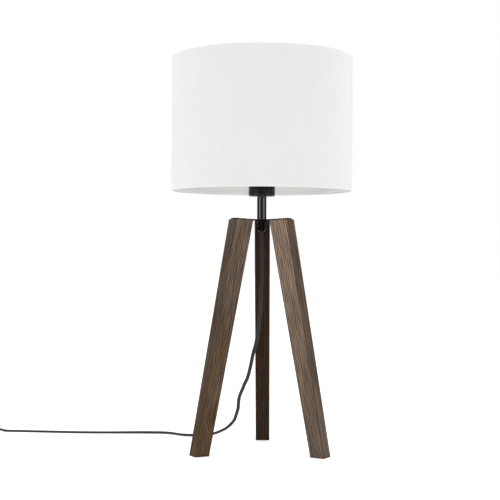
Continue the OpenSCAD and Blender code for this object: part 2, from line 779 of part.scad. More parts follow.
// One core, from the sheath's end in the rod out to its terminal
module holder_core(side) {
    start = cap_z + 4;
    skin(core([
        [side, 0, start], [side, 0, start + 1], [side * 1.4, 0, start + 3], [side * 3, -0.4, rod_top + 1.4],
        [side * 5.4, -0.9, rod_top + 2.4], [side * 7.4, core_y, terminal_z - 2.2],
        [side * terminal_x, core_y, terminal_z - 1], [side * terminal_x, core_y, terminal_z]
    ]));
}

module live_wire() { color("#6b4a2a") holder_core(1); }
module neutral_wire() { color("#3d6ea8") holder_core(-1); }

module cord_lead() { color("#2b2b2d") skin(free_cord(lead_route)); }
module cord_tail() { color("#2b2b2d") skin(free_cord(tail_route)); }
module cord_end() { color("#2b2b2d") skin(free_cord(end_route)); }

module cord_coil() {
    rings = coil_rings();
    echo(least_gap_between_turns = coil_clearance(rings));
    echo(cord_length = path_length(smooth_path(lead_route)) + switch_l + path_length(smooth_path(tail_route))
        + path_length(coil_path()) + path_length(smooth_path(end_route)));
    color("#2b2b2d") skin(rings);
}

// The tie goes round the strands on the coil's +X side, where the inner one is half a pitch out
// from the innermost point and the outer one three quarters of a pitch in from the start
module cord_tie() {
    slack = 0.6;
    inner_r = coil_out_r - coil_pitch * (coil_turns - 1) / 2 - cord_w / 2 - slack;
    outer_r = coil_out_r - coil_pitch * 0.75 + cord_w / 2 + slack;
    inside = [outer_r - inner_r, coil_layer + coil_flat * cord_t + 2 * rest_gap];
    color("#1b1b1b") translate([coil_x + inner_r - tie_t, coil_y + tie_w / 2, 0])
        rotate([90, 0, 0]) linear_extrude(tie_w) difference() {
            square([inside.x + 2 * tie_t, inside.y + 2 * tie_t]);
            translate([tie_t, tie_t]) square(inside);
        }
}

module at_switch() { translate([switch_x, cord_y, 0]) children(); }

// The switch's outer shape between two heights: straight sides, tapered ends, bevelled edges
module switch_body(low, high) {
    nose_l = 12;
    nose_w = 11;
    bevel = 2;
    l = switch_l / 2;
    w = switch_w / 2;
    intersection() {
        translate([0, 0, low]) linear_extrude(high - low) polygon([
            for (q = [[1, 1, 0], [-1, 1, 1], [-1, -1, 0], [1, -1, 1]])
                let (half = [[l, nose_w / 2], [l - nose_l, w - 3.5], [l - nose_l - 6, w]])
                for (k = q[2] == 0 ? [0, 1, 2] : [2, 1, 0]) [q.x * half[k].x, q.y * half[k].y]
        ]);
        translate([0, w + 1, 0]) rotate([90, 0, 0]) linear_extrude(switch_w + 2) polygon([
            [-l, 3], [3 - l, 0], [l - 3, 0], [l, 3], [l, switch_split + 3.4], [l - nose_l, switch_h - bevel],
            [l - nose_l - 5, switch_h], [nose_l + 5 - l, switch_h], [nose_l - l, switch_h - bevel],
            [-l, switch_split + 3.4]
        ]);
        rotate([90, 0, 90]) translate([0, 0, -l - 1]) linear_extrude(switch_l + 2) polygon([
            [-w, 1], [1 - w, 0], [w - 1, 0], [w, 1], [w, switch_h - bevel], [w - bevel, switch_h],
            [bevel - w, switch_h], [-w, switch_h - bevel]
        ]);
    }
}

switch_cavity = [50, switch_w - 2 * switch_wall];
switch_screw_at = [[20, -8.5], [-20, 8.5]];
switch_screw_r = 1.25;
rocker_z = switch_h - 3.8;
rocker_pin_r = 1.2;
rocker_pin_l = 1.4;
window = [rocker_l + 2, rocker_w + 0.6];
leaf_z = switch_split + 1;
leaf_t = 0.5;
clamp_x = 14.5;
terminal_end_x = 17;

module cord_mouths() {
    translate([-switch_l / 2 - 1, -cord_w / 2 - slide_gap, switch_split - cord_t / 2 - slide_gap])
        cube([switch_l + 2, cord_w + 2 * slide_gap, cord_t + 2 * slide_gap]);
}

module switch_base() {
    boss_r = 3.6;
    color("#161616") at_switch() difference() {
        union() {
            difference() {
                switch_body(0, switch_split);
                translate([-switch_cavity.x / 2, -switch_cavity.y / 2, switch_wall])
                    cube([switch_cavity.x, switch_cavity.y, switch_split]);
            }
            for (p = switch_screw_at) translate([p.x, p.y, switch_wall / 2])
                cylinder(r = boss_r, h = switch_split - switch_wall / 2);
        }
        cord_mouths();
        for (p = switch_screw_at) translate([p.x, p.y, -1]) {
            cylinder(r = switch_screw_r + hole_gap, h = switch_split + 2);
            cylinder(r = 2.6 + hole_gap, h = 3.4);
        }
    }
}

module switch_cover() {
    boss_r = 3;
    ear_x = 6;
    ear_y = 2.4;
    roof_z = switch_h - switch_wall;
    color("#161616") at_switch() difference() {
        union() {
            difference() {
                switch_body(switch_split, switch_h);
                translate([-switch_cavity.x / 2, -switch_cavity.y / 2, switch_split - 1])
                    cube([switch_cavity.x, switch_cavity.y, roof_z - switch_split + 1]);
            }
            for (p = switch_screw_at) translate([p.x, p.y, switch_split])
                cylinder(r = boss_r, h = roof_z - switch_split + 0.5);
            for (side = [-1, 1])
                translate([-ear_x / 2, side * (window.y + ear_y) / 2 - ear_y / 2, rocker_z - 2.6])
                cube([ear_x, ear_y, roof_z - rocker_z + 3]);
        }
        cord_mouths();
        translate([-window.x / 2, -window.y / 2, rocker_z - 3]) cube([window.x, window.y, switch_h]);
        translate([0, window.y / 2 + ear_y + 1, rocker_z]) rotate([90, 0, 0])
            cylinder(r = rocker_pin_r + pin_gap, h = window.y + 2 * ear_y + 2);
        for (p = switch_screw_at) translate([p.x, p.y, switch_split - 1])
            cylinder(r = switch_screw_r + thread_gap, h = 6);
    }
}

// What turns with the rocker, set to its off side
module at_rocker() {
    at_switch() translate([0, 0, rocker_z]) rotate([0, -rocker_swing / 2, 0]) children();
}

module switch_rocker() {
    l = rocker_l / 2;
    color("#242424") at_rocker() {
        translate([0, rocker_w / 2, 0]) rotate([90, 0, 0]) linear_extrude(rocker_w) polygon([
            [-l, 1.6], [-l, 4.8], [-l / 2, 4.1], [0, 3.8], [l / 2, 4.1], [l, 4.8], [l, 1.6], [3, -1.4],
            [2.4, -3], [-2.4, -3], [-3, -1.4]
        ]);
        translate([0, rocker_w / 2 + rocker_pin_l, 0]) rotate([90, 0, 0])
            cylinder(r = rocker_pin_r, h = rocker_w + 2 * rocker_pin_l);
    }
}

module switch_bridge() {
    color("#c9a24a") at_rocker() translate([-5, -2, -3.6]) cube([10, 4, 0.6]);
}

// A brass block on each side, with a leaf that reaches under the bridge, and its clamping screw
module switch_terminals() {
    block_w = 5;
    color("#b8923f") at_switch() for (side = [-1, 1]) difference() {
        translate([0, block_w / 2, 0]) rotate([90, 0, 0]) linear_extrude(block_w) polygon([
            for (p = [[11, switch_wall], [terminal_end_x, switch_wall], [terminal_end_x, leaf_z + leaf_t],
                [4, leaf_z + leaf_t], [4, leaf_z], [11, leaf_z]]) [side * p.x, p.y]
        ]);
        translate([side * clamp_x, 0, leaf_z - 5]) cylinder(r = 1 + thread_gap, h = 7);
    }
    color("#8b8a84") at_switch() for (side = [-1, 1]) translate([side * clamp_x, 0, leaf_z - 4.5]) {
        cylinder(r = 1, h = 5.5);
        translate([0, 0, 4.5 + leaf_t + thread_gap]) cylinder(r = 1.8, h = 1.2);
    }
}

module switch_screws() {
    head_z = 0.8;
    color("#8b8a84") at_switch() for (p = switch_screw_at) translate([p.x, p.y, head_z]) difference() {
        union() {
            cylinder(r = 2.6, h = 1.6);
            cylinder(r = switch_screw_r, h = switch_split + 4 - head_z);
        }
        rotate([180, 0, 0]) cross_slot(3.2, 0.7, 0.9);
    }
}

// Sheath ends in the two mouths, the live core to each terminal, and the neutral core right through
module switch_wires() {
    stub_l = 13;
    stub_end = switch_l / 2 - stub_l;
    aside = 3.7;
    color("#2b2b2d") at_switch() for (side = [-1, 1]) {
        translate([side * switch_l / 2, 0, switch_split]) rotate([90, 0, side * -90]) linear_extrude(stub_l)
            cord_section(cord_w, cord_t);
        translate([side * stub_end, -1.2, switch_split]) rotate([0, side * -90, 0])
            cylinder(d = core_d, h = stub_end - terminal_end_x);
    }
    color("#3d6ea8") at_switch() skin(core([
        [stub_end, 1.2, switch_split], [stub_end - 3, 1.5, switch_split],
        [stub_end - 8, aside, switch_split - 1], [8, aside, 7],
        [-8, aside, 7], [8 - stub_end, aside, switch_split - 1],
        [3 - stub_end, 1.5, switch_split], [-stub_end, 1.2, switch_split]
    ]));
}

// The plug lies on the floor with its pins towards +X; its face is the plane x = 0 here
module at_plug() { translate([plug_face_x, plug_y, plug_z]) children(); }

pin_shank_d = 3;
pin_shank_l = 9;

// Each pin's root on the plug's face, with +Z along the pin
module at_pins() {
    for (side = [-1, 1]) translate([0, side * pin_spacing / 2, 0]) rotate([0, 90, 0]) children();
}

module plug_body() {
    w = plug_w / 2;
    t = plug_t / 2;
    rear_w = 7;
    color("#141414") at_plug() difference() {
        intersection() {
            translate([0, 0, -t]) linear_extrude(plug_t) polygon([
                [0, -w + 1], [0, w - 1], [-1, w], [-13, w], [-24, w - 6], [-plug_l, rear_w],
                [-plug_l, -rear_w], [-24, 6 - w], [-13, -w], [-1, -w]
            ]);
            rotate([90, 0, 90]) translate([0, 0, -plug_l - 1]) linear_extrude(plug_l + 2) polygon([
                [-w, -2.6], [4.4 - w, -t], [w - 4.4, -t], [w, -2.6],
                [w, 2.6], [w - 4.4, t], [4.4 - w, t], [-w, 2.6]
            ]);
        }
        at_pins() translate([0, 0, -pin_shank_l])
            cylinder(d = pin_shank_d + 2 * thread_gap, h = pin_shank_l + 1);
    }
}

// Each pin has a thinner shank inside the body, and a rounded-off tip
module plug_pins() {
    color("#d8d4c8") at_plug() at_pins() {
        translate([0, 0, -pin_shank_l]) cylinder(d = pin_shank_d, h = pin_shank_l + 1);
        cylinder(d = pin_d, h = pin_l - 1);
        translate([0, 0, pin_l - 1]) cylinder(d1 = pin_d, d2 = pin_d - 1.6, h = 1);
    }
}

module plug_relief() {
    ribs = 6;
    rear_r = 3.4;
    front_r = 5.2;
    step = (relief_l - 2) / ribs;
    color("#141414") at_plug() translate([-plug_l, 0, 0]) rotate([0, -90, 0]) rotate_extrude() polygon(concat(
        [[0, 0], [front_r, 0]],
        [for (k = [0 : ribs - 1]) let (r = front_r - (front_r - rear_r) * (k + 1) / ribs, z = 1 + k * step)
            each [[r + 0.4, z], [r + 0.4, z + step * 0.55],
                [r - 0.3, z + step * 0.6], [r - 0.3, z + step * 0.95]]],
        [[rear_r - 0.3, relief_l], [0, relief_l]]
    ));
}

leg_left();
leg_right();
leg_back();
top_plate();
leg_screws();
stem_tube();
threaded_rod();
lower_nut();
cord_grip();
grip_screw();
holder_cap();
holder_locknut();
holder_sleeve();
holder_insert();
screw_shell();
centre_contact();
holder_terminals();
terminal_screws();
shade_ring();
shade_fabric();
shade_liner();
shade_top_wire();
shade_bottom_wire();
shade_spider();
bulb_globe();
bulb_housing();
bulb_screw_cap();
bulb_insulator();
bulb_tip_contact();
bulb_led_board();
bulb_driver_board();
cord_inner();
live_wire();
neutral_wire();
cord_lead();
switch_base();
switch_cover();
switch_rocker();
switch_bridge();
switch_terminals();
switch_screws();
switch_wires();
cord_tail();
cord_coil();
cord_end();
cord_tie();
plug_body();
plug_pins();
plug_relief();
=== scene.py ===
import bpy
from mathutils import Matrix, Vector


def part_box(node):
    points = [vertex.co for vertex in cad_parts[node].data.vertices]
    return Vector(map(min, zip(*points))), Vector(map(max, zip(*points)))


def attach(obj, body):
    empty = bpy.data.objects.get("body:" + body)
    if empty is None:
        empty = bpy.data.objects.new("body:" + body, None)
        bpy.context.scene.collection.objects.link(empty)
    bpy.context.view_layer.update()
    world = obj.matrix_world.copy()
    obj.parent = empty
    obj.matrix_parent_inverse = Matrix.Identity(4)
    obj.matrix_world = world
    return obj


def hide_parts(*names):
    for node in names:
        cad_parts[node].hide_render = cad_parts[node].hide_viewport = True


bl_info = {
    "name": "Tripod Table Lamp",
    "version": (1, 0, 0),
    "blender": (4, 5, 0),
    "location": "View3D > Sidebar > Lamp",
    "description": "Finishes a tripod table lamp: flat cord, wooden legs, steel, lampholder and drum shade",
    "category": "Object",
}

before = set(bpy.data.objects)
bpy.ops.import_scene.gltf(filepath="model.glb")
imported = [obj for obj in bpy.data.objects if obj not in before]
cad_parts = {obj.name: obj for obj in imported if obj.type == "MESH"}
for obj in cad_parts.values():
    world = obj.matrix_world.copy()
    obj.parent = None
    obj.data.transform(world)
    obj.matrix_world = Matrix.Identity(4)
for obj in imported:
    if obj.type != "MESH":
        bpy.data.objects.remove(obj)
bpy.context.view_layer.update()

import math

import bmesh
import bpy
from bpy.props import FloatProperty, FloatVectorProperty, IntProperty, PointerProperty
from bpy.types import Operator, PropertyGroup
from mathutils import Matrix, Vector

MM = 0.001
UP, BACK = Vector((0, 0, 1)), Vector((0, 1, 0))
STEP = 3 * MM  # between the points of a cord's middle line
MATH, RANGE, MIX = "ShaderNodeMath", "ShaderNodeMapRange", "ShaderNodeMix"
GLOSS = "Specular IOR Level"
BLOTS = (0.3, 0.7)  # what the values of a blotted pattern mostly lie between
# For each leg: its direction, how far its growth rings lean off its side faces, how much painted shade lies
# on its outer face, and how light and how red its board is at its foot and at its top. The lightness is
# painted light and shade, set so that each leg and each end shows the light that fell on it; the redness is
# the wood's own.
LEGS = {
    "leg_left": dict(azimuth=-150, lean=0.3, outer_painted_shade=0.3, foot=(0.64, 1.3), top=(0.69, 0.0)),
    "leg_right": dict(azimuth=-30, lean=0.3, outer_painted_shade=0.6, foot=(0.7, 0.0), top=(1.2, 0.0)),
    "leg_back": dict(azimuth=90, lean=0.9, outer_painted_shade=0.4, foot=(1.15, 1.3), top=(1.15, 1.3)),
}


# ---- settings


def linear(code):
    """An sRGB hex colour, such as 8a6f58, as linear red, green and blue."""
    parts = [int(code[i : i + 2], 16) / 255 for i in (0, 2, 4)]
    return tuple(p / 12.92 if p <= 0.04045 else ((p + 0.055) / 1.055) ** 2.4 for p in parts)


def colour(name, description, code):
    """A colour setting, with its default given as an sRGB hex value."""
    return FloatVectorProperty(
        name=name, description=description, default=linear(code), min=0, max=1, size=3, subtype="COLOR",
    )


def measured(scale=1, **limits):
    """A function for settings of one unit, with their defaults given in scale times that unit."""
    def setting(name, description, default):
        return FloatProperty(name=name, description=description, default=default * scale, **limits)
    return setting


length = measured(MM, min=0, precision=5, unit="LENGTH", subtype="DISTANCE")
share = measured(min=0, max=1, subtype="FACTOR")
watts = measured(min=0, unit="POWER", subtype="POWER")
tilt = measured(unit="ROTATION", subtype="ANGLE")


class LampStageSettings(PropertyGroup):
    camera_place: FloatVectorProperty(
        name="Camera place", description="Where the camera stands", default=(0.0503, -1.711, 0.3022),
        size=3, unit="LENGTH", subtype="TRANSLATION",
    )
    camera_turn: tilt("Camera turn", "How far the camera looks to the left of +Y", 0.0396)
    camera_roll: tilt("Camera roll", "How far the camera leans to its left", 0.0046)
    lens: FloatProperty(
        name="Lens", description="Focal length of the camera, on a sensor 36 mm wide", default=81.68,
        min=20, unit="CAMERA", subtype="DISTANCE_CAMERA",
    )
    key_power: watts("Key light", "Power of the large soft light at the front left", 12.5)
    fill_power: watts("Fill light", "Power of the large soft light at the front right", 13)
    top_power: watts("Top light", "Power of the wide soft light overhead", 30)
    room_level: share("Room level", "Brightness of the even light from the camera's side", 0.25)
    back_level: share("Back level", "Brightness of the even light from behind the lamp", 0.95)
    front_level: share("Front level", "How bright glossy surfaces show the room on the camera's side", 0.04)
    floor_colour: colour("Floor", "Colour of the pale floor", "f8f8f8")
    floor_lift: share("Floor lift", "How much whiter the floor looks than it is, by the lamp", 0.45)
    far_lift: share("Far lift", "How much whiter the floor looks than it is, far away", 0.7)


class LampCordSettings(PropertyGroup):
    width: length("Width", "Width of the flat cord", 5.4)
    thickness: length("Thickness", "Thickness of the flat cord", 3.4)
    coil_radius: length("Coil radius", "Radius of the coil's outermost turn, at the cord's middle", 36)
    coil_pitch: length("Coil pitch", "Distance from one turn of the coil to the next", 5.9)
    coil_layer: length("Coil layer", "Height from one layer of the coil to the next", 3.9)
    coil_turns: FloatProperty(
        name="Coil turns", description="Turns in both layers together", default=4.5, min=0.5,
    )
    sheath: colour("Sheath", "Colour of the cord's sheath", "3a3a3d")


class LampWoodSettings(PropertyGroup):
    ridge: colour("Ridge", "Colour of the warm ridges of the grain", "967b60")
    furrow: colour("Furrow", "Colour of the cool furrows of the grain", "464549")
    red_ridge: colour("Red ridge", "Colour of the ridges where the wood is redder", "86684a")
    red_furrow: colour("Red furrow", "Colour of the furrows where the wood is redder", "43362a")
    ring: length("Ring", "Distance from one growth ring to the next", 2.8)
    wander: length("Wander", "How far the rings wander along a leg", 6)
    # painted shade: the colour that a leg's wood is multiplied by where shade is painted on it, and how much
    # of it lies on the inner face
    stain: colour("Stain", "What the wood's colour is multiplied by where the stain has gathered", "7a7064")
    inner_stain: share("Inner stain", "How much of the stain has gathered on a leg's inner face", 1.0)
    top_radius: length("Top radius", "Distance of a leg's middle from the axis, at the top", 35)
    foot_radius: length("Foot radius", "Distance of a leg's middle from the axis, at the foot", 102.5)
    top_depth: length("Top depth", "Depth of a leg along its splay, at the top", 30)
    foot_depth: length("Foot depth", "Depth of a leg along its splay, at the foot", 23)
    top_width: length("Top width", "Width of a leg, at the top", 23)
    foot_width: length("Foot width", "Width of a leg, at the foot", 21.5)


class LampSteelSettings(PropertyGroup):
    paint: colour("Paint", "Colour of the powder coat", "0b0b0c")
    zinc: colour("Zinc", "Colour of the plated rod, nut and screws", "b4b3ae")
    round_over: length("Round over", "Rounding of the plate's and nut's edges", 0.35)


class LampHolderSettings(PropertyGroup):
    black: colour("Black", "Colour of the cup, sleeve and ring", "070708")
    grip: colour("Grip", "Colour of the cord grip", "080808")
    insert: colour("Insert", "Colour of the moulded insert", "e6e2d8")
    brass: colour("Brass", "Colour of shell, contact and terminals", "d8b468")


class LampShadeSettings(PropertyGroup):
    cloth: colour("Cloth", "Colour of the shade's cloth", "f6f6f5")
    film: colour("Film", "Colour of the film behind the cloth", "f6f6f4")
    wire: colour("Wire", "Colour of the wires and spokes", "eeeeec")
    thickness: length("Thickness", "Thickness of the cloth", 0.5)
    fold: length("Fold", "How far the hem is folded up inside the shade", 6)
    seam_width: length("Seam width", "Width of the upright overlap at the back", 12)
    thread: length("Thread", "Distance between threads that show as slubs", 1.4)
    segments: IntProperty(name="Segments", description="Steps round the drum", default=288, min=24)


class LampBulbSettings(PropertyGroup):
    opal: colour("Opal", "Colour of the globe", "f4f3ee")
    housing: colour("Housing", "Colour of the housing", "ededea")
    cap: colour("Cap", "Colour of the screw cap", "c9c9c6")


class LampPlugSettings(PropertyGroup):
    black: colour("Black", "Colour of switch and plug", "1b1b1d")
    rocker: colour("Rocker", "Colour of the rocker", "242426")
    pin: colour("Pin", "Colour of the plug's pins", "d6d2c6")
    round_over: length("Round over", "Rounding of the switch's edges", 0.6)
    rocker_round: length("Rocker round over", "Rounding of the rocker's edges", 0.4)
    plug_round: length("Plug round over", "Rounding of the plug's edges", 1.6)
    tie_round: length("Tie round over", "Rounding of the tie's edges", 0.2)
    ribs: IntProperty(name="Ribs", description="Ribs on the strain relief", default=6, min=2)
    rib: length("Rib", "How far the first rib stands out of the strain relief's sleeve", 0.75)
    relief_front: length("Relief front", "Radius of the strain relief's sleeve at the plug", 4.9)
    relief_rear: length("Relief rear", "Radius of the strain relief's sleeve at its end", 3.1)
    segments: IntProperty(name="Segments", description="Steps round the strain relief", default=40, min=12)


# ---- materials


def fill(tree, node, inputs):
    """Fills a node's inputs, by name or in order, with values or with other nodes' outputs."""
    for key, value in inputs.items() if isinstance(inputs, dict) else enumerate(inputs):
        if isinstance(value, bpy.types.NodeSocket):
            tree.links.new(value, node.inputs[key])
        else:
            node.inputs[key].default_value = value


def add(tree, kind, inputs=(), out=0, **settings):
    """Adds a node with its settings and links. Gives its output, several for a tuple, or itself for None."""
    made = tree.nodes.new(kind)
    for key, value in settings.items():
        setattr(made, key, value)
    fill(tree, made, inputs)
    if isinstance(out, tuple):
        return [made.outputs[name] for name in out]
    return made if out is None else made.outputs[out]


def new_finish(name, base, roughness, sockets=()):
    """A material with a Principled shader: returns it, its tree, the shader and the place in the object."""
    made = bpy.data.materials.new(name)
    made.use_nodes = True
    tree = made.node_tree
    shader = tree.nodes["Principled BSDF"]
    fill(tree, shader, {"Base Color": toned(base), "Roughness": roughness, **dict(sockets)})
    return made, tree, shader, add(tree, "ShaderNodeTexCoord", out="Object")


def shared(name, make, *values, **named):
    """The material of that name, made the first time it is asked for."""
    return bpy.data.materials.get(name) or make(name, *values, **named)


def toned(base, factor=1.0):
    """A colour made darker or lighter, as a shader takes it."""
    return (*(part * factor for part in base), 1)


def translucent(reach, weight=1.0):
    """What lets light spread inside a wall, alike in all colours, as far as reach."""
    return {"Subsurface Weight": weight, "Subsurface Scale": reach, "Subsurface Radius": (1, 1, 1)}


def blots(tree, place, size, stretch=(1, 1, 1), detail=3.0, shift=(0, 0, 0)):
    """A pattern whose blots are about size metres across, made longer along an axis by stretch."""
    at = add(tree, "ShaderNodeMapping", {
        "Vector": place, "Location": shift, "Scale": [1 / (size * s) for s in stretch],
    })
    return add(tree, "ShaderNodeTexNoise", {"Vector": at, "Scale": 1.0, "Detail": detail})


def uneven(name, base, roughness, sockets, patches, tones, texture, shine=None, relief=None):
    """A finish whose patches run between two tones of its colour, and whose texture changes its roughness by
    shine and stands out by relief's depth and strength."""
    made, tree, shader, place = new_finish(name, base, roughness, sockets)
    mixed = {0: blots(tree, place, **patches), 6: toned(base, tones[0]), 7: toned(base, tones[1])}
    look = {"Base Color": add(tree, MIX, mixed, 2, data_type="RGBA")}
    height = blots(tree, place, **texture)
    if shine:
        look["Roughness"] = add(tree, RANGE, (height, *BLOTS, *(roughness + part for part in shine)))
    if relief:
        raised = {"Height": height, "Distance": relief[0], "Strength": relief[1]}
        look["Normal"] = add(tree, "ShaderNodeBump", raised)
    fill(tree, shader, look)
    return made


def ash_with_painted_shade(name, wood, azimuth, lean, outer_painted_shade, foot, top):
    # Open-grained ash, brushed out and stained: growth rings stand as warm ridges between cool dark furrows,
    # straight along a leg's side faces and broader and fainter on its outer and inner faces. Painted shade
    # darkens the inner and outer faces, the long edges and the foot.
    made, tree, shader, place = new_finish(name, wood.furrow, 0.55, {GLOSS: 0.15})
    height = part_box("leg_back")[1].z
    turned = add(tree, "ShaderNodeMapping", {"Vector": place, "Rotation": (0, 0, -math.radians(azimuth))})
    from_axis, across, up = add(tree, "ShaderNodeSeparateXYZ", (turned,), ("X", "Y", "Z"))
    middle = add(tree, RANGE, (up, 0, height, wood.foot_radius, wood.top_radius))
    out = add(tree, MATH, (from_axis, middle), operation="SUBTRACT")
    in_leg = add(tree, "ShaderNodeCombineXYZ", (out, across, up))
    long_bend, long_pore, long_patch = (1, 1, 12), (1, 1, 22), (1, 1, 5)  # all drawn out along the leg
    faint, full = 0.4, 0.85  # the grain's contrast on the outer face, and where it is palest or darkest
    own = (azimuth / 90, 0.3, 0)  # so that no two legs have the same pattern
    edge, outer, inner = painted_shade_places(tree, out, across, up, wood, height)

    # growth rings, which lean, wander, and are fainter on the outer face, with pores along them
    ring = add(tree, MATH, (across, lean, out), operation="MULTIPLY_ADD")
    for size, detail, reach in ((9 * MM, 1, wood.wander), (3 * MM, 0, wood.wander / 6)):
        bend = blots(tree, in_leg, size, long_bend, detail, own)
        ring = add(tree, MATH, (bend, reach, ring), operation="MULTIPLY_ADD")
    ring = add(tree, MATH, (ring, 2 * math.pi / wood.ring), operation="MULTIPLY")
    wave = add(tree, MATH, (ring,), operation="SINE")
    pores = add(tree, RANGE, (blots(tree, in_leg, 1.1 * MM, long_pore, 1, own), *BLOTS, -0.9, 0.9))
    ridge = add(tree, MATH, (wave, pores), operation="ADD")
    ridge = add(tree, MATH, (ridge, add(tree, RANGE, (outer, 0, 1, 1, faint))), operation="MULTIPLY")

    # the board's colour, from its foot to its top, with long patches. How light it is at each end is painted
    # light and shade
    patch = add(tree, RANGE, (blots(tree, in_leg, 15 * MM, long_patch, 1, own), *BLOTS, -0.4, 0.4))
    rise = add(tree, RANGE, (up, 0, height, 0, 1))
    board = add(tree, MATH, (rise, patch), operation="ADD", use_clamp=True)
    grain = {0: add(tree, RANGE, (ridge, -full, full, 0, 1))}
    for socket, plain, red in ((6, wood.furrow, wood.red_furrow), (7, wood.ridge, wood.red_ridge)):
        ends = {0: board, 6: blended(plain, red, *foot), 7: blended(plain, red, *top)}
        grain[socket] = add(tree, MIX, ends, 2, data_type="RGBA")

    # painted shade, multiplied into the wood: on the inner face, along the long edges and at the foot, and,
    # growing upwards towards the lamp's shade, on the outer face
    stain, fullest = 0, height * 0.45
    upwards = add(tree, RANGE, (up, 0, fullest, 0.15, outer_painted_shade))
    for where, amount in ((outer, upwards), (inner, wood.inner_stain), (edge, 0.5)):
        painted_amount = add(tree, MATH, (where, amount), operation="MULTIPLY")
        stain = add(tree, MATH, (stain, painted_amount), operation="MAXIMUM")
    painted_shade_mix = {0: stain, 6: add(tree, MIX, grain, 2, data_type="RGBA"), 7: toned(wood.stain)}
    fill(tree, shader, {
        "Base Color": add(tree, MIX, painted_shade_mix, 2, data_type="RGBA", blend_type="MULTIPLY"),
        "Roughness": add(tree, RANGE, (ridge, -1.1, 1.1, 0.65, 0.5)),
        "Normal": add(tree, "ShaderNodeBump", {"Height": ridge, "Distance": 0.12 * MM, "Strength": 0.6}),
    })
    return made


def blended(plain, red, light, redness):
    """A board's colour between plain and red, made lighter or darker as painted light and shade."""
    return toned([p + (r - p) * redness for p, r in zip(plain, red)], light)


def painted_shade_places(tree, out, across, up, wood, height):
    """Where painted shade goes: 1 near a leg's long edges and its foot, on its outer face, and on its inner
    face, and 0 elsewhere.
    """
    gaps = []
    for place, foot, top in (
        (out, wood.foot_depth, wood.top_depth), (across, wood.foot_width, wood.top_width),
    ):
        half = add(tree, RANGE, (up, 0, height, foot / 2, top / 2))
        off = add(tree, MATH, (place,), operation="ABSOLUTE")
        gaps.append(add(tree, MATH, (half, off), operation="SUBTRACT"))
    dark, clear = 0.4 * MM, 2 * MM  # how far in from an edge the painted shade is full, and gone
    near = [add(tree, RANGE, (gap, dark, clear, 1, 0)) for gap in (*gaps, up)]
    corner = add(tree, MATH, (near[0], near[1]), operation="MULTIPLY")
    edge = add(tree, MATH, (corner, near[2]), operation="MAXIMUM")
    face = add(tree, RANGE, (gaps[0], 0.1 * MM, 0.6 * MM, 1, 0))
    outwards = add(tree, RANGE, (out, -1 * MM, 1 * MM, 0, 1))
    outer = add(tree, MATH, (face, outwards), operation="MULTIPLY")
    return edge, outer, add(tree, MATH, (face, outer), operation="SUBTRACT")


def powder_coat(name, base, roughness, gloss):
    # Black powder coat on steel: smooth on the tube and satin on the plate, with a fine orange peel that
    # breaks up its highlights
    return uneven(
        name, base, roughness, {GLOSS: gloss}, patches={"size": 14 * MM}, tones=(0.85, 1.25),
        texture={"size": 1.2 * MM, "detail": 2}, shine=(-0.04, 0.04), relief=(0.01 * MM, 0.5),
    )


def plated(name, base, roughness, grain):
    # Plated metal: bright, with faint turning marks along one direction
    return uneven(
        name, base, roughness, {"Metallic": 1.0}, patches={"size": 5 * MM}, tones=(0.9, 1.0),
        texture={"size": grain, "stretch": (6, 6, 1), "detail": 4}, shine=(-0.06, 0.1),
        relief=(0.01 * MM, 0.4),
    )


def moulded(name, base, roughness, grit, depth, gloss=0.5):
    # Moulded plastic: even colour, with the fine spark-eroded texture of its mould
    return uneven(
        name, base, roughness, {GLOSS: gloss}, patches={"size": 9 * MM}, tones=(0.92, 1.06),
        texture={"size": grit, "detail": 2}, shine=(-0.05, 0.07), relief=(depth, 0.6),
    )


def enamelled_wire(name, base):
    # White powder coat on thin wire: smooth, a little glossy, with a slight waviness
    wave = {"size": 2.5 * MM, "detail": 1}
    return uneven(
        name, base, 0.38, {}, patches=wave, tones=(0.95, 1.0), texture=wave, relief=(0.03 * MM, 0.5),
    )


def shade_cloth(name, shade):
    # Plain cotton weave, bonded to film: matt, with slubs in warp and weft. The real threads, 0.3 mm apart,
    # are too fine to show here, so only the thicker slubs are drawn.
    slub = 22  # times as long as it is thick
    sockets = {GLOSS: 0.2, **translucent(0.8 * MM)}
    made, tree, shader, place = new_finish(name, shade.cloth, 0.85, sockets)
    x, y, z = add(tree, "ShaderNodeSeparateXYZ", (place,), ("X", "Y", "Z"))
    low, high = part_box("shade_fabric")
    angle = add(tree, MATH, (y, x), operation="ARCTAN2")
    around = add(tree, MATH, (angle, (high - low).x / 2), operation="MULTIPLY")
    unrolled = add(tree, "ShaderNodeCombineXYZ", (around, z))
    weft = blots(tree, unrolled, shade.thread, (slub, 1, 1), 2)
    warp = blots(tree, unrolled, shade.thread, (1, slub, 1), 2, shift=(9, 4, 0))
    threads = add(tree, MATH, (weft, warp), operation="ADD")
    thick = add(tree, RANGE, (threads, 0.7, 1.3, 0, 1))
    mixed = {0: thick, 6: toned(shade.cloth, 0.965), 7: toned(shade.cloth)}
    fill(tree, shader, {
        "Base Color": add(tree, MIX, mixed, 2, data_type="RGBA"),
        "Normal": add(tree, "ShaderNodeBump", {"Height": threads, "Distance": 0.05 * MM, "Strength": 0.35}),
    })
    return made


def liner_film(name, base):
    # Styrene film, calendered: milky, satin and thin enough to glow where light falls on its other side
    return uneven(
        name, base, 0.5, translucent(0.4 * MM), patches={"size": 20 * MM, "stretch": (1, 1, 3), "detail": 2},
        tones=(0.98, 1.0), texture={"size": 1.5 * MM, "detail": 1}, relief=(0.01 * MM, 0.5),
    )


def opal_globe(name, base):
    # Opal polycarbonate: milky and softly glossy, lit a little from within its own wall
    haze = {"size": 12 * MM}
    return uneven(
        name, base, 0.28, translucent(1 * MM, 0.3), patches=haze, tones=(0.97, 1.0), texture=haze,
        shine=(-0.04, 0.06),
    )


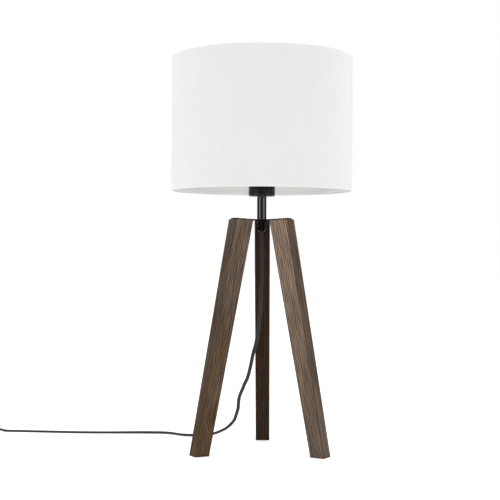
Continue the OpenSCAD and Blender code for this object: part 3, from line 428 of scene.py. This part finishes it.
def cord_sheath(name, base):
    # Soft PVC sheath of a flat cord: smooth and satin, with faint drag marks from the die
    return uneven(
        name, base, 0.42, {GLOSS: 0.15}, patches={"size": 25 * MM}, tones=(0.85, 1.1),
        texture={"size": 1.6 * MM}, shine=(-0.06, 0.08), relief=(0.02 * MM, 0.5),
    )


def circuit_board(name):
    # Glass-epoxy board under green solder mask, glossy, with paler tracks
    mask, track = linear("2f6b41"), linear("4b8f5c")
    made, tree, shader, place = new_finish(name, mask, 0.3)
    tracks = add(tree, RANGE, (blots(tree, place, 2 * MM, (4, 1, 4), 0), 0.5, 0.52, 0, 1))
    mixed = {0: tracks, 6: toned(mask), 7: toned(track)}
    fill(tree, shader, {"Base Color": add(tree, MIX, mixed, 2, data_type="RGBA")})
    return made


# ---- shapes


def dress(names, material):
    """Gives CAD nodes their material."""
    for name in names:
        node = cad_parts[name]
        node.data.materials.clear()
        node.data.materials.append(material)


def finish_piece(piece, material, replaced=(), body="frame", sharp=40):
    """Shades a piece, gives it its material, ties it to its body, and hides the nodes it stands for."""
    piece.data.shade_smooth()
    piece.data.set_sharp_from_angle(angle=math.radians(sharp))
    piece.data.materials.clear()
    piece.data.materials.append(material)
    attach(piece, body)
    if replaced:
        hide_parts(*replaced)


def linked(name, mesh):
    """A new piece with that mesh, in the scene."""
    piece = bpy.data.objects.new(name, mesh)
    bpy.context.scene.collection.objects.link(piece)
    return piece


def new_piece(name, points, faces, edges=()):
    """A new piece with a mesh of its own."""
    mesh = bpy.data.meshes.new(name)
    mesh.from_pydata([tuple(p) for p in points], list(edges), faces)
    mesh.validate()
    return linked(name, mesh)


def bake_modifiers(piece):
    """Turns what the modifiers make into the piece's own plain mesh."""
    graph = bpy.context.evaluated_depsgraph_get()
    made = bpy.data.meshes.new_from_object(piece.evaluated_get(graph))
    piece.modifiers.clear()
    piece.data = made
    made.name = piece.name
    return piece


def softened(name, node, width, material, body="frame", segments=2):
    """A finished copy of a CAD node that stands for it, with its hard edges rounded over by width."""
    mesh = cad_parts[node].data.copy()
    mesh.name = name
    shape = bmesh.new()
    shape.from_mesh(mesh)
    bmesh.ops.remove_doubles(shape, verts=shape.verts, dist=1e-6)
    bmesh.ops.dissolve_limit(shape, angle_limit=math.radians(0.5), verts=shape.verts, edges=shape.edges)
    shape.to_mesh(mesh)
    shape.free()
    piece = linked(name, mesh)
    bevel = piece.modifiers.new("Round over", "BEVEL")
    bevel.width = width
    bevel.segments = segments
    bevel.limit_method = "ANGLE"
    bevel.angle_limit = math.radians(30)
    bevel.use_clamp_overlap = False
    finish_piece(bake_modifiers(piece), material, [node], body)


def recalculated(piece):
    """Merges doubles and turns every face outwards."""
    shape = bmesh.new()
    shape.from_mesh(piece.data)
    bmesh.ops.remove_doubles(shape, verts=shape.verts, dist=1e-7)
    bmesh.ops.recalc_face_normals(shape, faces=shape.faces)
    shape.to_mesh(piece.data)
    shape.free()
    return piece


def smooth_path(points, step):
    """Points at about step along the smooth curve through points."""
    path = []
    last = len(points) - 1
    for i in range(last):
        a, b, c, d = (Vector(points[min(max(k, 0), last)]) for k in range(i - 1, i + 3))
        bend, sway = 2 * a - 5 * b + 4 * c - d, 3 * b - a - 3 * c + d
        count = max(1, round((c - b).length / step))
        for u in (k / count for k in range(count)):
            path.append((2 * b + (c - a) * u + bend * u * u + sway * u**3) / 2)
    return path + [Vector(points[-1])]


def flat_section(width, thickness):
    """Corner points, across and through, of a flat cord's section: two cores under one sheath."""
    reach, steps = (width - thickness) / 2, 8
    turns = [math.pi * (k / steps - 0.5) for k in range(steps + 1)]
    half = [(reach + thickness / 2 * math.cos(t), thickness / 2 * math.sin(t)) for t in turns]
    return half + [(-x, -y) for x, y in half]


def round_section(diameter):
    """Corner points of a round core's section."""
    turns = [2 * math.pi * k / 12 for k in range(12)]
    return [(diameter / 2 * math.cos(t), diameter / 2 * math.sin(t)) for t in turns]


def swept(name, path, section, thin_side):
    """A closed tube of that section along path. thin_side(point) is the way its thin side faces."""
    points, faces, n = [], [], len(section)
    for i, at in enumerate(path):
        ahead = (path[min(i + 1, len(path) - 1)] - path[max(i - 1, 0)]).normalized()
        across = ahead.cross(thin_side(at)).normalized()
        through = ahead.cross(across)
        points += [at + across * x + through * y for x, y in section]
    for i in range(len(path) - 1):
        for k in range(n):
            a, b = i * n + k, i * n + (k + 1) % n
            faces.append((a, b, b + n, a + n))
    last = (len(path) - 1) * n
    faces += [tuple(reversed(range(n))), tuple(range(last, last + n))]
    return recalculated(new_piece(name, points, faces))


def new_tree(name, kinds):
    """A geometry node tree with inputs of those kinds: returns it, its inputs and its output node."""
    tree = bpy.data.node_groups.new(name, "GeometryNodeTree")
    for label, kind in {"Geometry": "Geometry", **kinds}.items():
        tree.interface.new_socket(label, in_out="INPUT", socket_type=f"NodeSocket{kind}")
    tree.interface.new_socket("Geometry", in_out="OUTPUT", socket_type="NodeSocketGeometry")
    return tree, add(tree, "NodeGroupInput", out=None).outputs, add(tree, "NodeGroupOutput", out=None)


def run_tree(piece, tree, values):
    """Runs a node tree on a piece with those input values, and keeps its mesh."""
    modifier = piece.modifiers.new(tree.name, "NODES")
    modifier.node_group = tree
    for item in tree.interface.items_tree:
        if item.item_type == "SOCKET" and item.in_out == "INPUT" and item.name in values:
            modifier[item.identifier] = values[item.name]
    piece.update_tag()
    return bake_modifiers(piece)


def finish_tree(tree, geometry, material, output):
    """Ends a tree in Realize Instances and Set Material."""
    real = add(tree, "GeometryNodeRealizeInstances", {"Geometry": geometry})
    painted = add(tree, "GeometryNodeSetMaterial", {"Geometry": real, "Material": material})
    fill(tree, output, (painted,))
    return tree


def turned_tree():
    """Sweeps the piece's own outline, x outwards and y down, round a circle."""
    tree, given, output = new_tree("Turned", {"Radius": "Float", "Segments": "Int", "Material": "Material"})
    outline = add(tree, "GeometryNodeMeshToCurve", {"Mesh": given["Geometry"]})
    circle = add(tree, "GeometryNodeCurvePrimitiveCircle", {
        "Resolution": given["Segments"], "Radius": given["Radius"],
    })
    upright = add(tree, "GeometryNodeSetCurveNormal", {"Curve": circle})
    drum = add(tree, "GeometryNodeCurveToMesh", {"Curve": upright, "Profile Curve": outline})
    return finish_tree(tree, drum, given["Material"], output)


def ribbed_tree():
    """A sleeve from Start to End that tapers between two radii, with closed rings along it as ribs."""
    tree, given, output = new_tree("Ribbed sleeve", {
        "Start": "Vector", "End": "Vector", "Front radius": "Float", "Rear radius": "Float", "Rib": "Float",
        "Ribs": "Int", "Segments": "Int", "Material": "Material",
    })
    line = add(tree, "GeometryNodeCurvePrimitiveLine", {"Start": given["Start"], "End": given["End"]})
    steps, facets = 12, 10  # along the sleeve, and round a rib's own section
    circle, bead = (
        add(tree, "GeometryNodeCurvePrimitiveCircle", {"Resolution": count, "Radius": given[radius]})
        for count, radius in ((given["Segments"], "Front radius"), (facets, "Rib"))
    )
    taper = add(tree, MATH, (given["Rear radius"], given["Front radius"]), operation="DIVIDE")
    along = add(tree, "GeometryNodeSplineParameter", out="Factor")
    sleeve = add(tree, "GeometryNodeCurveToMesh", {
        "Curve": add(tree, "GeometryNodeResampleCurve", {"Curve": line, "Count": steps}),
        "Profile Curve": circle, "Scale": add(tree, RANGE, (along, 0, 1, 1, taper)), "Fill Caps": True,
    })
    first, end = 0.06, 0.88  # how far along the sleeve the first and the last rib stand
    points, turns = add(tree, "GeometryNodeCurveToPoints", {
        "Curve": add(tree, "GeometryNodeTrimCurve", {"Curve": line, 2: first, 3: end}),
        "Count": given["Ribs"],
    }, ("Points", "Rotation"))
    last = add(tree, MATH, (given["Ribs"], 1), operation="SUBTRACT")
    size = add(tree, RANGE, (add(tree, "GeometryNodeInputIndex"), 0, last, 1, taper))
    ribs = add(tree, "GeometryNodeInstanceOnPoints", {
        "Points": points, "Rotation": turns, "Scale": size,
        "Instance": add(tree, "GeometryNodeCurveToMesh", {"Curve": circle, "Profile Curve": bead}),
    })
    both = add(tree, "GeometryNodeJoinGeometry", (sleeve,))
    fill(tree, both.node, (ribs,))
    return finish_tree(tree, both, given["Material"], output)


# ---- the stage


class LAMP_OT_stage(Operator):
    """Adds the camera, the soft lights, the even room light and the pale floor"""

    bl_idname = "lamp.stage"
    bl_label = "Stage"

    def execute(self, context):
        scene, stage = context.scene, context.scene.lamp_stage
        scene.view_settings.view_transform = "Standard"
        self.add_camera(scene, stage)
        self.add_room(scene, stage)
        for name, power, place, size in (
            ("key_light", stage.key_power, (-1.45, -1.23, 0.55), (1.4, 0.8)),
            ("fill_light", stage.fill_power, (1.55, -1.1, 0.55), (1.8, 0.8)),
            ("top_light", stage.top_power, (0.0, 0.0, 2.4), (2.0, 2.0)),
        ):
            self.add_light(scene, name, power, Vector(place), size)
        self.add_floor(stage)
        return {"FINISHED"}

    def add_camera(self, scene, stage):
        camera = bpy.data.objects.new("camera", bpy.data.cameras.new("camera"))
        camera.data.sensor_width = 36
        camera.data.lens = stage.lens
        level = Matrix.Rotation(stage.camera_turn, 4, "Z") @ Matrix.Rotation(math.pi / 2, 4, "X")
        roll = Matrix.Rotation(stage.camera_roll, 4, "Z")
        camera.matrix_world = Matrix.Translation(stage.camera_place) @ level @ roll
        scene.collection.objects.link(camera)
        scene.camera = camera

    def seen_directly(self, tree):
        """1 where the camera sees a surface directly, mirrored or through glass, and else 0."""
        seen, *bent = add(
            tree, "ShaderNodeLightPath", out=("Is Camera Ray", "Is Glossy Ray", "Is Transmission Ray"),
        )
        for ray in bent:
            seen = add(tree, MATH, (seen, ray), operation="MAXIMUM")
        return seen

    def add_room(self, scene, stage):
        """A white room. In mirrored rays all but its far wall is dim, so that black parts look black."""
        world = bpy.data.worlds.new("room")
        world.use_nodes = True
        scene.world = world
        tree = world.node_tree
        tree.nodes.clear()
        towards = add(tree, "ShaderNodeTexCoord", out="Generated")
        back = add(tree, "ShaderNodeSeparateXYZ", (towards,), "Y")
        far_wall, side_walls = (0.88, 1.0), (-0.3, 0.9)  # how far back a ray points as it reaches these
        room = add(tree, RANGE, (back, *far_wall, stage.front_level, 1))
        camera_ray = add(tree, "ShaderNodeLightPath", out="Is Camera Ray")
        white = add(tree, MATH, (camera_ray, room), operation="MAXIMUM")
        even = add(tree, RANGE, (back, *side_walls, stage.room_level, stage.back_level))
        level = add(tree, RANGE, (self.seen_directly(tree), 0, 1, even, white))
        light = add(tree, "ShaderNodeBackground", {"Color": (1, 1, 1, 1), "Strength": level})
        add(tree, "ShaderNodeOutputWorld", {"Surface": light}, None)

    def add_light(self, scene, name, power, place, size):
        light = bpy.data.objects.new(name, bpy.data.lights.new(name, "AREA"))
        light.data.energy = power
        light.data.shape = "RECTANGLE"
        light.data.size, light.data.size_y = size
        lamp_middle = Vector((0, 0, 0.3))
        turn = (lamp_middle - place).to_track_quat("-Z", "Y").to_matrix().to_4x4()
        light.matrix_world = Matrix.Translation(place) @ turn
        scene.collection.objects.link(light)

    def add_floor(self, stage):
        reach = 12
        corners = ((-reach, -reach, 0), (reach, -reach, 0), (reach, reach, 0), (-reach, reach, 0))
        floor = new_piece("floor", corners, [(0, 1, 2, 3)])
        made, tree, shader, place = new_finish("Pale floor", stage.floor_colour, 0.9, {GLOSS: 0.1})
        away = add(tree, "ShaderNodeVectorMath", (place,), "Value", operation="LENGTH")
        near, far = 0.6, 3
        lift = add(tree, RANGE, (away, near, far, stage.floor_lift, stage.far_lift))
        lifted = add(tree, MATH, (self.seen_directly(tree), lift), operation="MULTIPLY")
        fill(tree, shader, {"Emission Color": (1, 1, 1, 1), "Emission Strength": lifted})
        floor.data.materials.append(made)


# ---- the cord


def lead_route():
    """The free cord's middle line from the grip to the switch, in millimetres: down between the legs, out
    behind the left one, and off to the left."""
    lying = 1.7
    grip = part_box("cord_grip")[0].z / MM
    return [
        (0, 0, grip), (0, 0, 318), (1, 0, 304), (1, 1, 285), (1, 2, 265), (0, 3, 245),
        (-1, 5, 225), (-3, 8, 197), (-6, 12, 173), (-9, 16, 158), (-13, 21, 143), (-17, 30, 124),
        (-22, 41, 105), (-27, 48, 94), (-31, 54, 84), (-35, 60, 74), (-37, 66, 64), (-38, 72, 53),
        (-41, 80, 43), (-45, 88, 32), (-54, 96, 21), (-65, 104, 13), (-80, 113, 6), (-97, 119, 2),
        *((x, y, lying) for x, y in (
            (-115, 120), (-128, 122), (-139, 129), (-149, 137), (-161, 142), (-180, 143),
            (-215, 142), (-260, 140), (-310, 140), (-360, 143), (-405, 146),
        )),
        (-425, 146, 2), (-438, 146, 5), (-452, 146, 9), (-462, 146, 9),
    ]


def coil_route(cord, start):
    """The coil's middle line: in on the lower layer, up in half a turn, and out on the upper one."""
    half = cord.coil_turns / 2
    centre = start - Vector((0, cord.coil_radius, 0))
    steps = 48
    route = []
    for k in range(round(cord.coil_turns * steps) + 1):
        turn = k / steps
        radius = cord.coil_radius - cord.coil_pitch * (half - abs(turn - half))
        rise = min(max((turn - half) * 2 + 0.5, 0), 1)
        angle = math.pi * (0.5 + 2 * turn)
        height = cord.coil_layer * rise * rise * (3 - 2 * rise)
        route.append(centre + Vector((radius * math.cos(angle), radius * math.sin(angle), height)))
    return route


def from_mm(points):
    return [Vector(p) * MM for p in points]


def still_turned(at):
    """How far the cord hasn't yet settled flat where it lies: 1 by the lamp and 0 further off."""
    settled, reach = -300 * MM, 100 * MM
    return min(max((at.x - settled) / reach, 0), 1)


def thin_side(at):
    """The way the flat cord's thin side faces: to the back while it hangs, and up where it lies."""
    hanging, lean = 120 * MM, 0.37
    turned = max(min(at.z / hanging, 1), lean * still_turned(at))
    return Vector((0, turned, 1 - turned)).normalized()


class LAMP_OT_cords(Operator):
    """Lays the flat cord from the lamp to its switch, and from there through its coil to the plug"""

    bl_idname = "lamp.cords"
    bl_label = "Cords"

    def execute(self, context):
        cord = context.scene.lamp_cord
        sheath = shared("PVC cord sheath", cord_sheath, cord.sheath)
        section = flat_section(cord.width, cord.thickness)
        self.lay_lead(cord, sheath, section)
        self.lay_tail(cord, sheath, section)
        dress(["cord_inner", "switch_wires"], sheath)
        self.lay_cores()
        return {"FINISHED"}

    def lay_lead(self, cord, sheath, section):
        path = smooth_path(from_mm(lead_route()), STEP)
        raised = 0.55 * MM  # its middle lies higher where it stands tilted
        for at in path:
            at.z = max(at.z, cord.thickness / 2 + raised * still_turned(at))
        piece = swept("cord_to_switch", path, section, thin_side)
        finish_piece(piece, sheath, ["cord_lead"], sharp=60)

    def lay_tail(self, cord, sheath, section):
        coil_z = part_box("cord_coil")[0].z + cord.thickness / 2 * math.sin(math.pi / 3)
        coil_start = Vector((-592 * MM, 146 * MM, coil_z))
        coil = coil_route(cord, coil_start)
        straight = Vector((cord.width, 0, 0))
        off_switch = from_mm([(-542, 146, 9), (-550, 146, 9), (-565, 146, 5)])
        into_coil = [Vector((-578 * MM, coil_start.y, coil_z)), coil_start + straight]
        leaving = coil[-1] + straight
        out_of_coil = [leaving, Vector((-580 * MM, leaving.y, leaving.z))]
        into_plug = from_mm([(-568, 74, 7), (-561, 74, 7)])
        path = smooth_path(off_switch + into_coil, STEP) + coil
        path += smooth_path(out_of_coil + into_plug, STEP)
        piece = swept("cord_to_plug", path, section, lambda at: UP)
        finish_piece(piece, sheath, ["cord_tail", "cord_coil", "cord_end"], sharp=60)

    def lay_cores(self):
        """The two insulated cores from the sheath's end to the terminals."""
        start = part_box("cord_inner")[1].z / MM
        rod_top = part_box("threaded_rod")[1].z / MM
        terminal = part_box("holder_terminals")[0].z / MM
        section = round_section(2 * MM)
        for name, side, tone, record_slot in (
            ("live", 1, "6b4a2a", "core_brown"), ("neutral", -1, "3d6ea8", "core_blue"),
        ):
            route = [
                (side, 0, start), (side, 0, start + 1), (side * 1.4, 0, start + 3),
                (side * 3, -0.4, rod_top + 1.4), (side * 5.4, -0.9, rod_top + 2.4),
                (side * 7.4, -1.4, terminal - 2.2), (side * 8, -1.4, terminal - 1),
                (side * 8, -1.4, terminal),
            ]
            piece = swept(f"{name}_core", smooth_path(from_mm(route), 0.6 * MM), section, lambda at: BACK)
            material = shared(f"PVC {name} core", cord_sheath, linear(tone))
            finish_piece(piece, material, [f"{name}_wire"], sharp=60)


# ---- the base


class LAMP_OT_legs(Operator):
    """Gives the three legs their stained wood, with the grain along each leg and its own painted light and
    shade
    """

    bl_idname = "lamp.legs"
    bl_label = "Legs"

    def execute(self, context):
        for node, board in LEGS.items():
            # each leg gets its own copy of the wood, lighter or darker by painted light and shade
            wood = shared(f"Stained ash {node[4:]}", ash_with_painted_shade, context.scene.lamp_wood, **board)
            dress([node], wood)
        return {"FINISHED"}


class LAMP_OT_steelwork(Operator):
    """Finishes the plate, stem, nut, rod and screws"""

    bl_idname = "lamp.steelwork"
    bl_label = "Steelwork"

    def execute(self, context):
        steel = context.scene.lamp_steel
        paint = shared("Powder-coated steel", powder_coat, steel.paint, 0.3, gloss=0.08)
        gloss = shared("Gloss powder-coated steel", powder_coat, steel.paint, 0.16, gloss=0.5)
        zinc = shared("Zinc-plated steel", plated, steel.zinc, 0.32, grain=0.5 * MM)
        for node in ("top_plate", "lower_nut"):
            softened(f"{node}_coated", node, steel.round_over, paint)
        dress(["stem_tube"], gloss)
        dress(["leg_screws"], paint)
        dress(["threaded_rod", "holder_locknut", "terminal_screws", "switch_screws"], zinc)
        return {"FINISHED"}


# ---- the lampholder


class LAMP_OT_holder(Operator):
    """Finishes the lampholder, its contacts and the cord grip"""

    bl_idname = "lamp.holder"
    bl_label = "Lampholder"

    def execute(self, context):
        holder = context.scene.lamp_holder
        fine = 0.01 * MM  # a moulding's numbers are its roughness, its grit and the grit's depth
        phenolic = shared("Black phenolic", moulded, holder.black, 0.14, 0.8 * MM, fine, gloss=0.25)
        nylon = shared("Black nylon", moulded, holder.grip, 0.2, 1.0 * MM, fine, gloss=0.1)
        ceramic = shared("Steatite insert", moulded, holder.insert, 0.6, 0.4 * MM, 2 * fine)
        brass = shared("Rolled brass", plated, holder.brass, 0.3, grain=0.4 * MM)
        dress(["holder_cap", "holder_sleeve", "shade_ring"], phenolic)
        dress(["cord_grip", "grip_screw"], nylon)
        dress(["holder_insert"], ceramic)
        dress(
            ["screw_shell", "centre_contact", "holder_terminals", "switch_bridge", "switch_terminals"], brass,
        )
        return {"FINISHED"}


# ---- the shade


class LAMP_OT_shade(Operator):
    """Makes the shade's cloth cover with its hems and seam, and finishes the liner, wires and spokes"""

    bl_idname = "lamp.shade"
    bl_label = "Shade"

    def execute(self, context):
        shade = context.scene.lamp_shade
        cloth = shared("Bonded cotton shade cloth", shade_cloth, shade)
        film = shared("Styrene liner film", liner_film, shade.film)
        wire = shared("White powder-coated wire", enamelled_wire, shade.wire)
        self.make_cover(shade, cloth)
        self.make_seam(shade, cloth)
        dress(["shade_liner"], film)
        dress(["shade_top_wire", "shade_bottom_wire", "shade_spider"], wire)
        return {"FINISHED"}

    def hem_line(self, shade, wire_z, towards):
        """The cloth's middle line from the outer wall round a wire and up the inside, as (radius, height)."""
        low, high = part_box("shade_bottom_wire")
        slack, film = 0.05 * MM, 0.4 * MM  # between the cloth and what it lies on, and the liner's thickness
        wire_r = (high.z - low.z) / 2
        ring_r = high.x - wire_r
        wrap = wire_r + slack + shade.thickness / 2
        steps = 12
        line = [
            (ring_r + wrap * math.cos(t), wire_z + towards * wrap * math.sin(t))
            for t in (math.pi * k / steps for k in range(steps + 1))
        ]
        liner_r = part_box("shade_liner")[1].x - film - slack - shade.thickness / 2
        tuck = 2.6 * MM  # how far past the wire the fold comes to lie on the liner, after a slant
        line.append((ring_r - wrap * 0.72, wire_z - towards * tuck * 0.55))
        line += [(liner_r, wire_z - towards * reach) for reach in (tuck, shade.fold)]
        return line

    def make_cover(self, shade, cloth):
        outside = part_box("shade_fabric")[1].x
        bottom = sum(c.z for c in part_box("shade_bottom_wire")) / 2
        top = sum(c.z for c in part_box("shade_top_wire")) / 2
        middle = list(reversed(self.hem_line(shade, top, 1))) + self.hem_line(shade, bottom, -1)
        radius = outside - shade.thickness / 2
        outline = self.thickened([(r - radius, z) for r, z in middle], shade.thickness)
        edges = [(k, (k + 1) % len(outline)) for k in range(len(outline))]
        piece = new_piece("shade_cover", [(x, -y, 0) for x, y in outline], [], edges)  # swept with y down
        run_tree(piece, turned_tree(), {"Radius": radius, "Segments": shade.segments, "Material": cloth})
        recalculated(piece)
        finish_piece(piece, cloth, ["shade_fabric"], "shade", sharp=50)

    def thickened(self, line, thickness):
        """The closed outline of a strip of that thickness along line."""
        sides = ([], [])
        for i, (x, y) in enumerate(line):
            before, after = line[max(i - 1, 0)], line[min(i + 1, len(line) - 1)]
            along = Vector((after[0] - before[0], after[1] - before[1])).normalized()
            for side, sign in zip(sides, (1, -1)):
                side.append((x + sign * along.y * thickness / 2, y - sign * along.x * thickness / 2))
        return sides[0] + sides[1][::-1]

    def make_seam(self, shade, cloth):
        """The upright overlap where the cloth's two ends meet, at the back."""
        low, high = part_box("shade_fabric")
        margin, proud, sunk = 2.2 * MM, 0.3 * MM, 0.1 * MM
        thin = 0.15  # of what it is proud by, at its two edges
        steps = 10
        half = shade.seam_width / 2 / high.x
        points, faces = [], []
        for k in range(steps + 1):
            angle = math.pi / 2 + half * (2 * k / steps - 1)
            edge = proud * (thin if k in (0, steps) else 1)
            for radius in (high.x - sunk, high.x + edge):
                for z in (low.z + margin, high.z - margin):
                    points.append((radius * math.cos(angle), radius * math.sin(angle), z))
        for a in range(0, 4 * steps, 4):
            faces += [
                (a, a + 4, a + 5, a + 1), (a + 2, a + 3, a + 7, a + 6), (a, a + 2, a + 6, a + 4),
                (a + 1, a + 5, a + 7, a + 3),
            ]
        last = 4 * steps
        faces += [(0, 1, 3, 2), (last, last + 2, last + 3, last + 1)]
        piece = recalculated(new_piece("shade_seam", points, faces))
        finish_piece(piece, cloth, body="shade")


# ---- the bulb


class LAMP_OT_bulb(Operator):
    """Finishes the bulb"""

    bl_idname = "lamp.bulb"
    bl_label = "Bulb"

    def execute(self, context):
        bulb = context.scene.lamp_bulb
        fine = 0.01 * MM
        for nodes, record_slot, finish in (
            (["bulb_globe"], "opal_globe", ("Opal polycarbonate", opal_globe, bulb.opal)),
            (["bulb_housing"], "pale_plastic",
             ("White polycarbonate", moulded, bulb.housing, 0.4, 0.6 * MM, fine)),
            (["bulb_screw_cap", "bulb_tip_contact"], "cap_alloy",
             ("Nickel-plated cap", plated, bulb.cap, 0.22, 0.6 * MM)),
            (["bulb_insulator"], "black_insulator",
             ("Black glass bead", moulded, linear("141414"), 0.15, 1 * MM, fine / 2)),
            (["bulb_led_board"], "cap_alloy",
             ("White-masked board", moulded, linear("e6e6e0"), 0.35, 0.8 * MM, fine)),
            (["bulb_driver_board"], "circuit_board", ("Green-masked board", circuit_board)),
        ):
            dress(nodes, shared(*finish))
        return {"FINISHED"}


# ---- switch and plug


class LAMP_OT_switch(Operator):
    """Finishes the inline switch"""

    bl_idname = "lamp.switch"
    bl_label = "Switch"

    def execute(self, context):
        plug = context.scene.lamp_plug
        black = shared("Black ABS", moulded, plug.black, 0.48, 0.7 * MM, 0.03 * MM)
        glossy = shared("Polished ABS", moulded, plug.rocker, 0.25, 0.9 * MM, 0.01 * MM)
        for node in ("switch_base", "switch_cover"):
            softened(f"{node}_shell", node, plug.round_over, black)
        softened("switch_rocker_cap", "switch_rocker", plug.rocker_round, glossy, "rocker")
        return {"FINISHED"}


class LAMP_OT_plug(Operator):
    """Finishes the plug, its strain relief, its pins and the coil's tie"""

    bl_idname = "lamp.plug"
    bl_label = "Plug"

    def execute(self, context):
        plug = context.scene.lamp_plug
        black = shared("Black ABS", moulded, plug.black, 0.48, 0.7 * MM, 0.03 * MM)
        softened("plug_moulding", "plug_body", plug.plug_round, black, segments=4)
        softened("cord_tie_band", "cord_tie", plug.tie_round, black)
        self.make_relief(plug, black)
        dress(["plug_pins"], shared("Nickel-plated pins", plated, plug.pin, 0.2, grain=0.6 * MM))
        return {"FINISHED"}

    def make_relief(self, plug, black):
        """The ribbed sleeve that the cord leaves the plug through."""
        low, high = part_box("plug_relief")
        middle = (low + high) / 2
        piece = new_piece("plug_relief_ribbed", [], [])
        run_tree(piece, ribbed_tree(), {
            "Start": (high.x, middle.y, middle.z), "End": (low.x, middle.y, middle.z),
            "Front radius": plug.relief_front, "Rear radius": plug.relief_rear, "Rib": plug.rib,
            "Ribs": plug.ribs, "Segments": plug.segments, "Material": black,
        })
        finish_piece(recalculated(piece), black, ["plug_relief"])


# ---- the panel


class LAMP_PT_panel(bpy.types.Panel):
    """Lists the lamp's groups of pieces and their settings"""

    bl_label = "Tripod Table Lamp"
    bl_idname = "LAMP_PT_panel"
    bl_space_type = "VIEW_3D"
    bl_region_type = "UI"
    bl_category = "Lamp"

    def draw(self, context):
        for operator in OPERATORS:
            self.layout.operator(operator.bl_idname)
        for label in SETTINGS:
            group = getattr(context.scene, label)
            box = self.layout.box()
            box.label(text=label.replace("_", " ").capitalize())
            for name in group.__annotations__:
                box.prop(group, name)


SETTINGS = {
    "lamp_stage": LampStageSettings, "lamp_cord": LampCordSettings, "lamp_wood": LampWoodSettings,
    "lamp_steel": LampSteelSettings, "lamp_holder": LampHolderSettings, "lamp_shade": LampShadeSettings,
    "lamp_bulb": LampBulbSettings, "lamp_plug": LampPlugSettings,
}
OPERATORS = [
    LAMP_OT_stage, LAMP_OT_cords, LAMP_OT_legs, LAMP_OT_steelwork, LAMP_OT_holder, LAMP_OT_shade,
    LAMP_OT_bulb, LAMP_OT_switch, LAMP_OT_plug,
]
CLASSES = [*SETTINGS.values(), *OPERATORS, LAMP_PT_panel]


def register():
    for made in CLASSES:
        bpy.utils.register_class(made)
    for label, group in SETTINGS.items():
        setattr(bpy.types.Scene, label, PointerProperty(type=group))


def unregister():
    for label in SETTINGS:
        delattr(bpy.types.Scene, label)
    for made in reversed(CLASSES):
        bpy.utils.unregister_class(made)


def main():
    register()
    bpy.ops.lamp.stage()
    bpy.ops.lamp.switch()  # what sits on a cord is made before the cord
    bpy.ops.lamp.plug()
    bpy.ops.lamp.cords()
    bpy.ops.lamp.legs()
    bpy.ops.lamp.steelwork()
    bpy.ops.lamp.holder()
    bpy.ops.lamp.shade()
    bpy.ops.lamp.bulb()


if __name__ == "__main__":
    main()
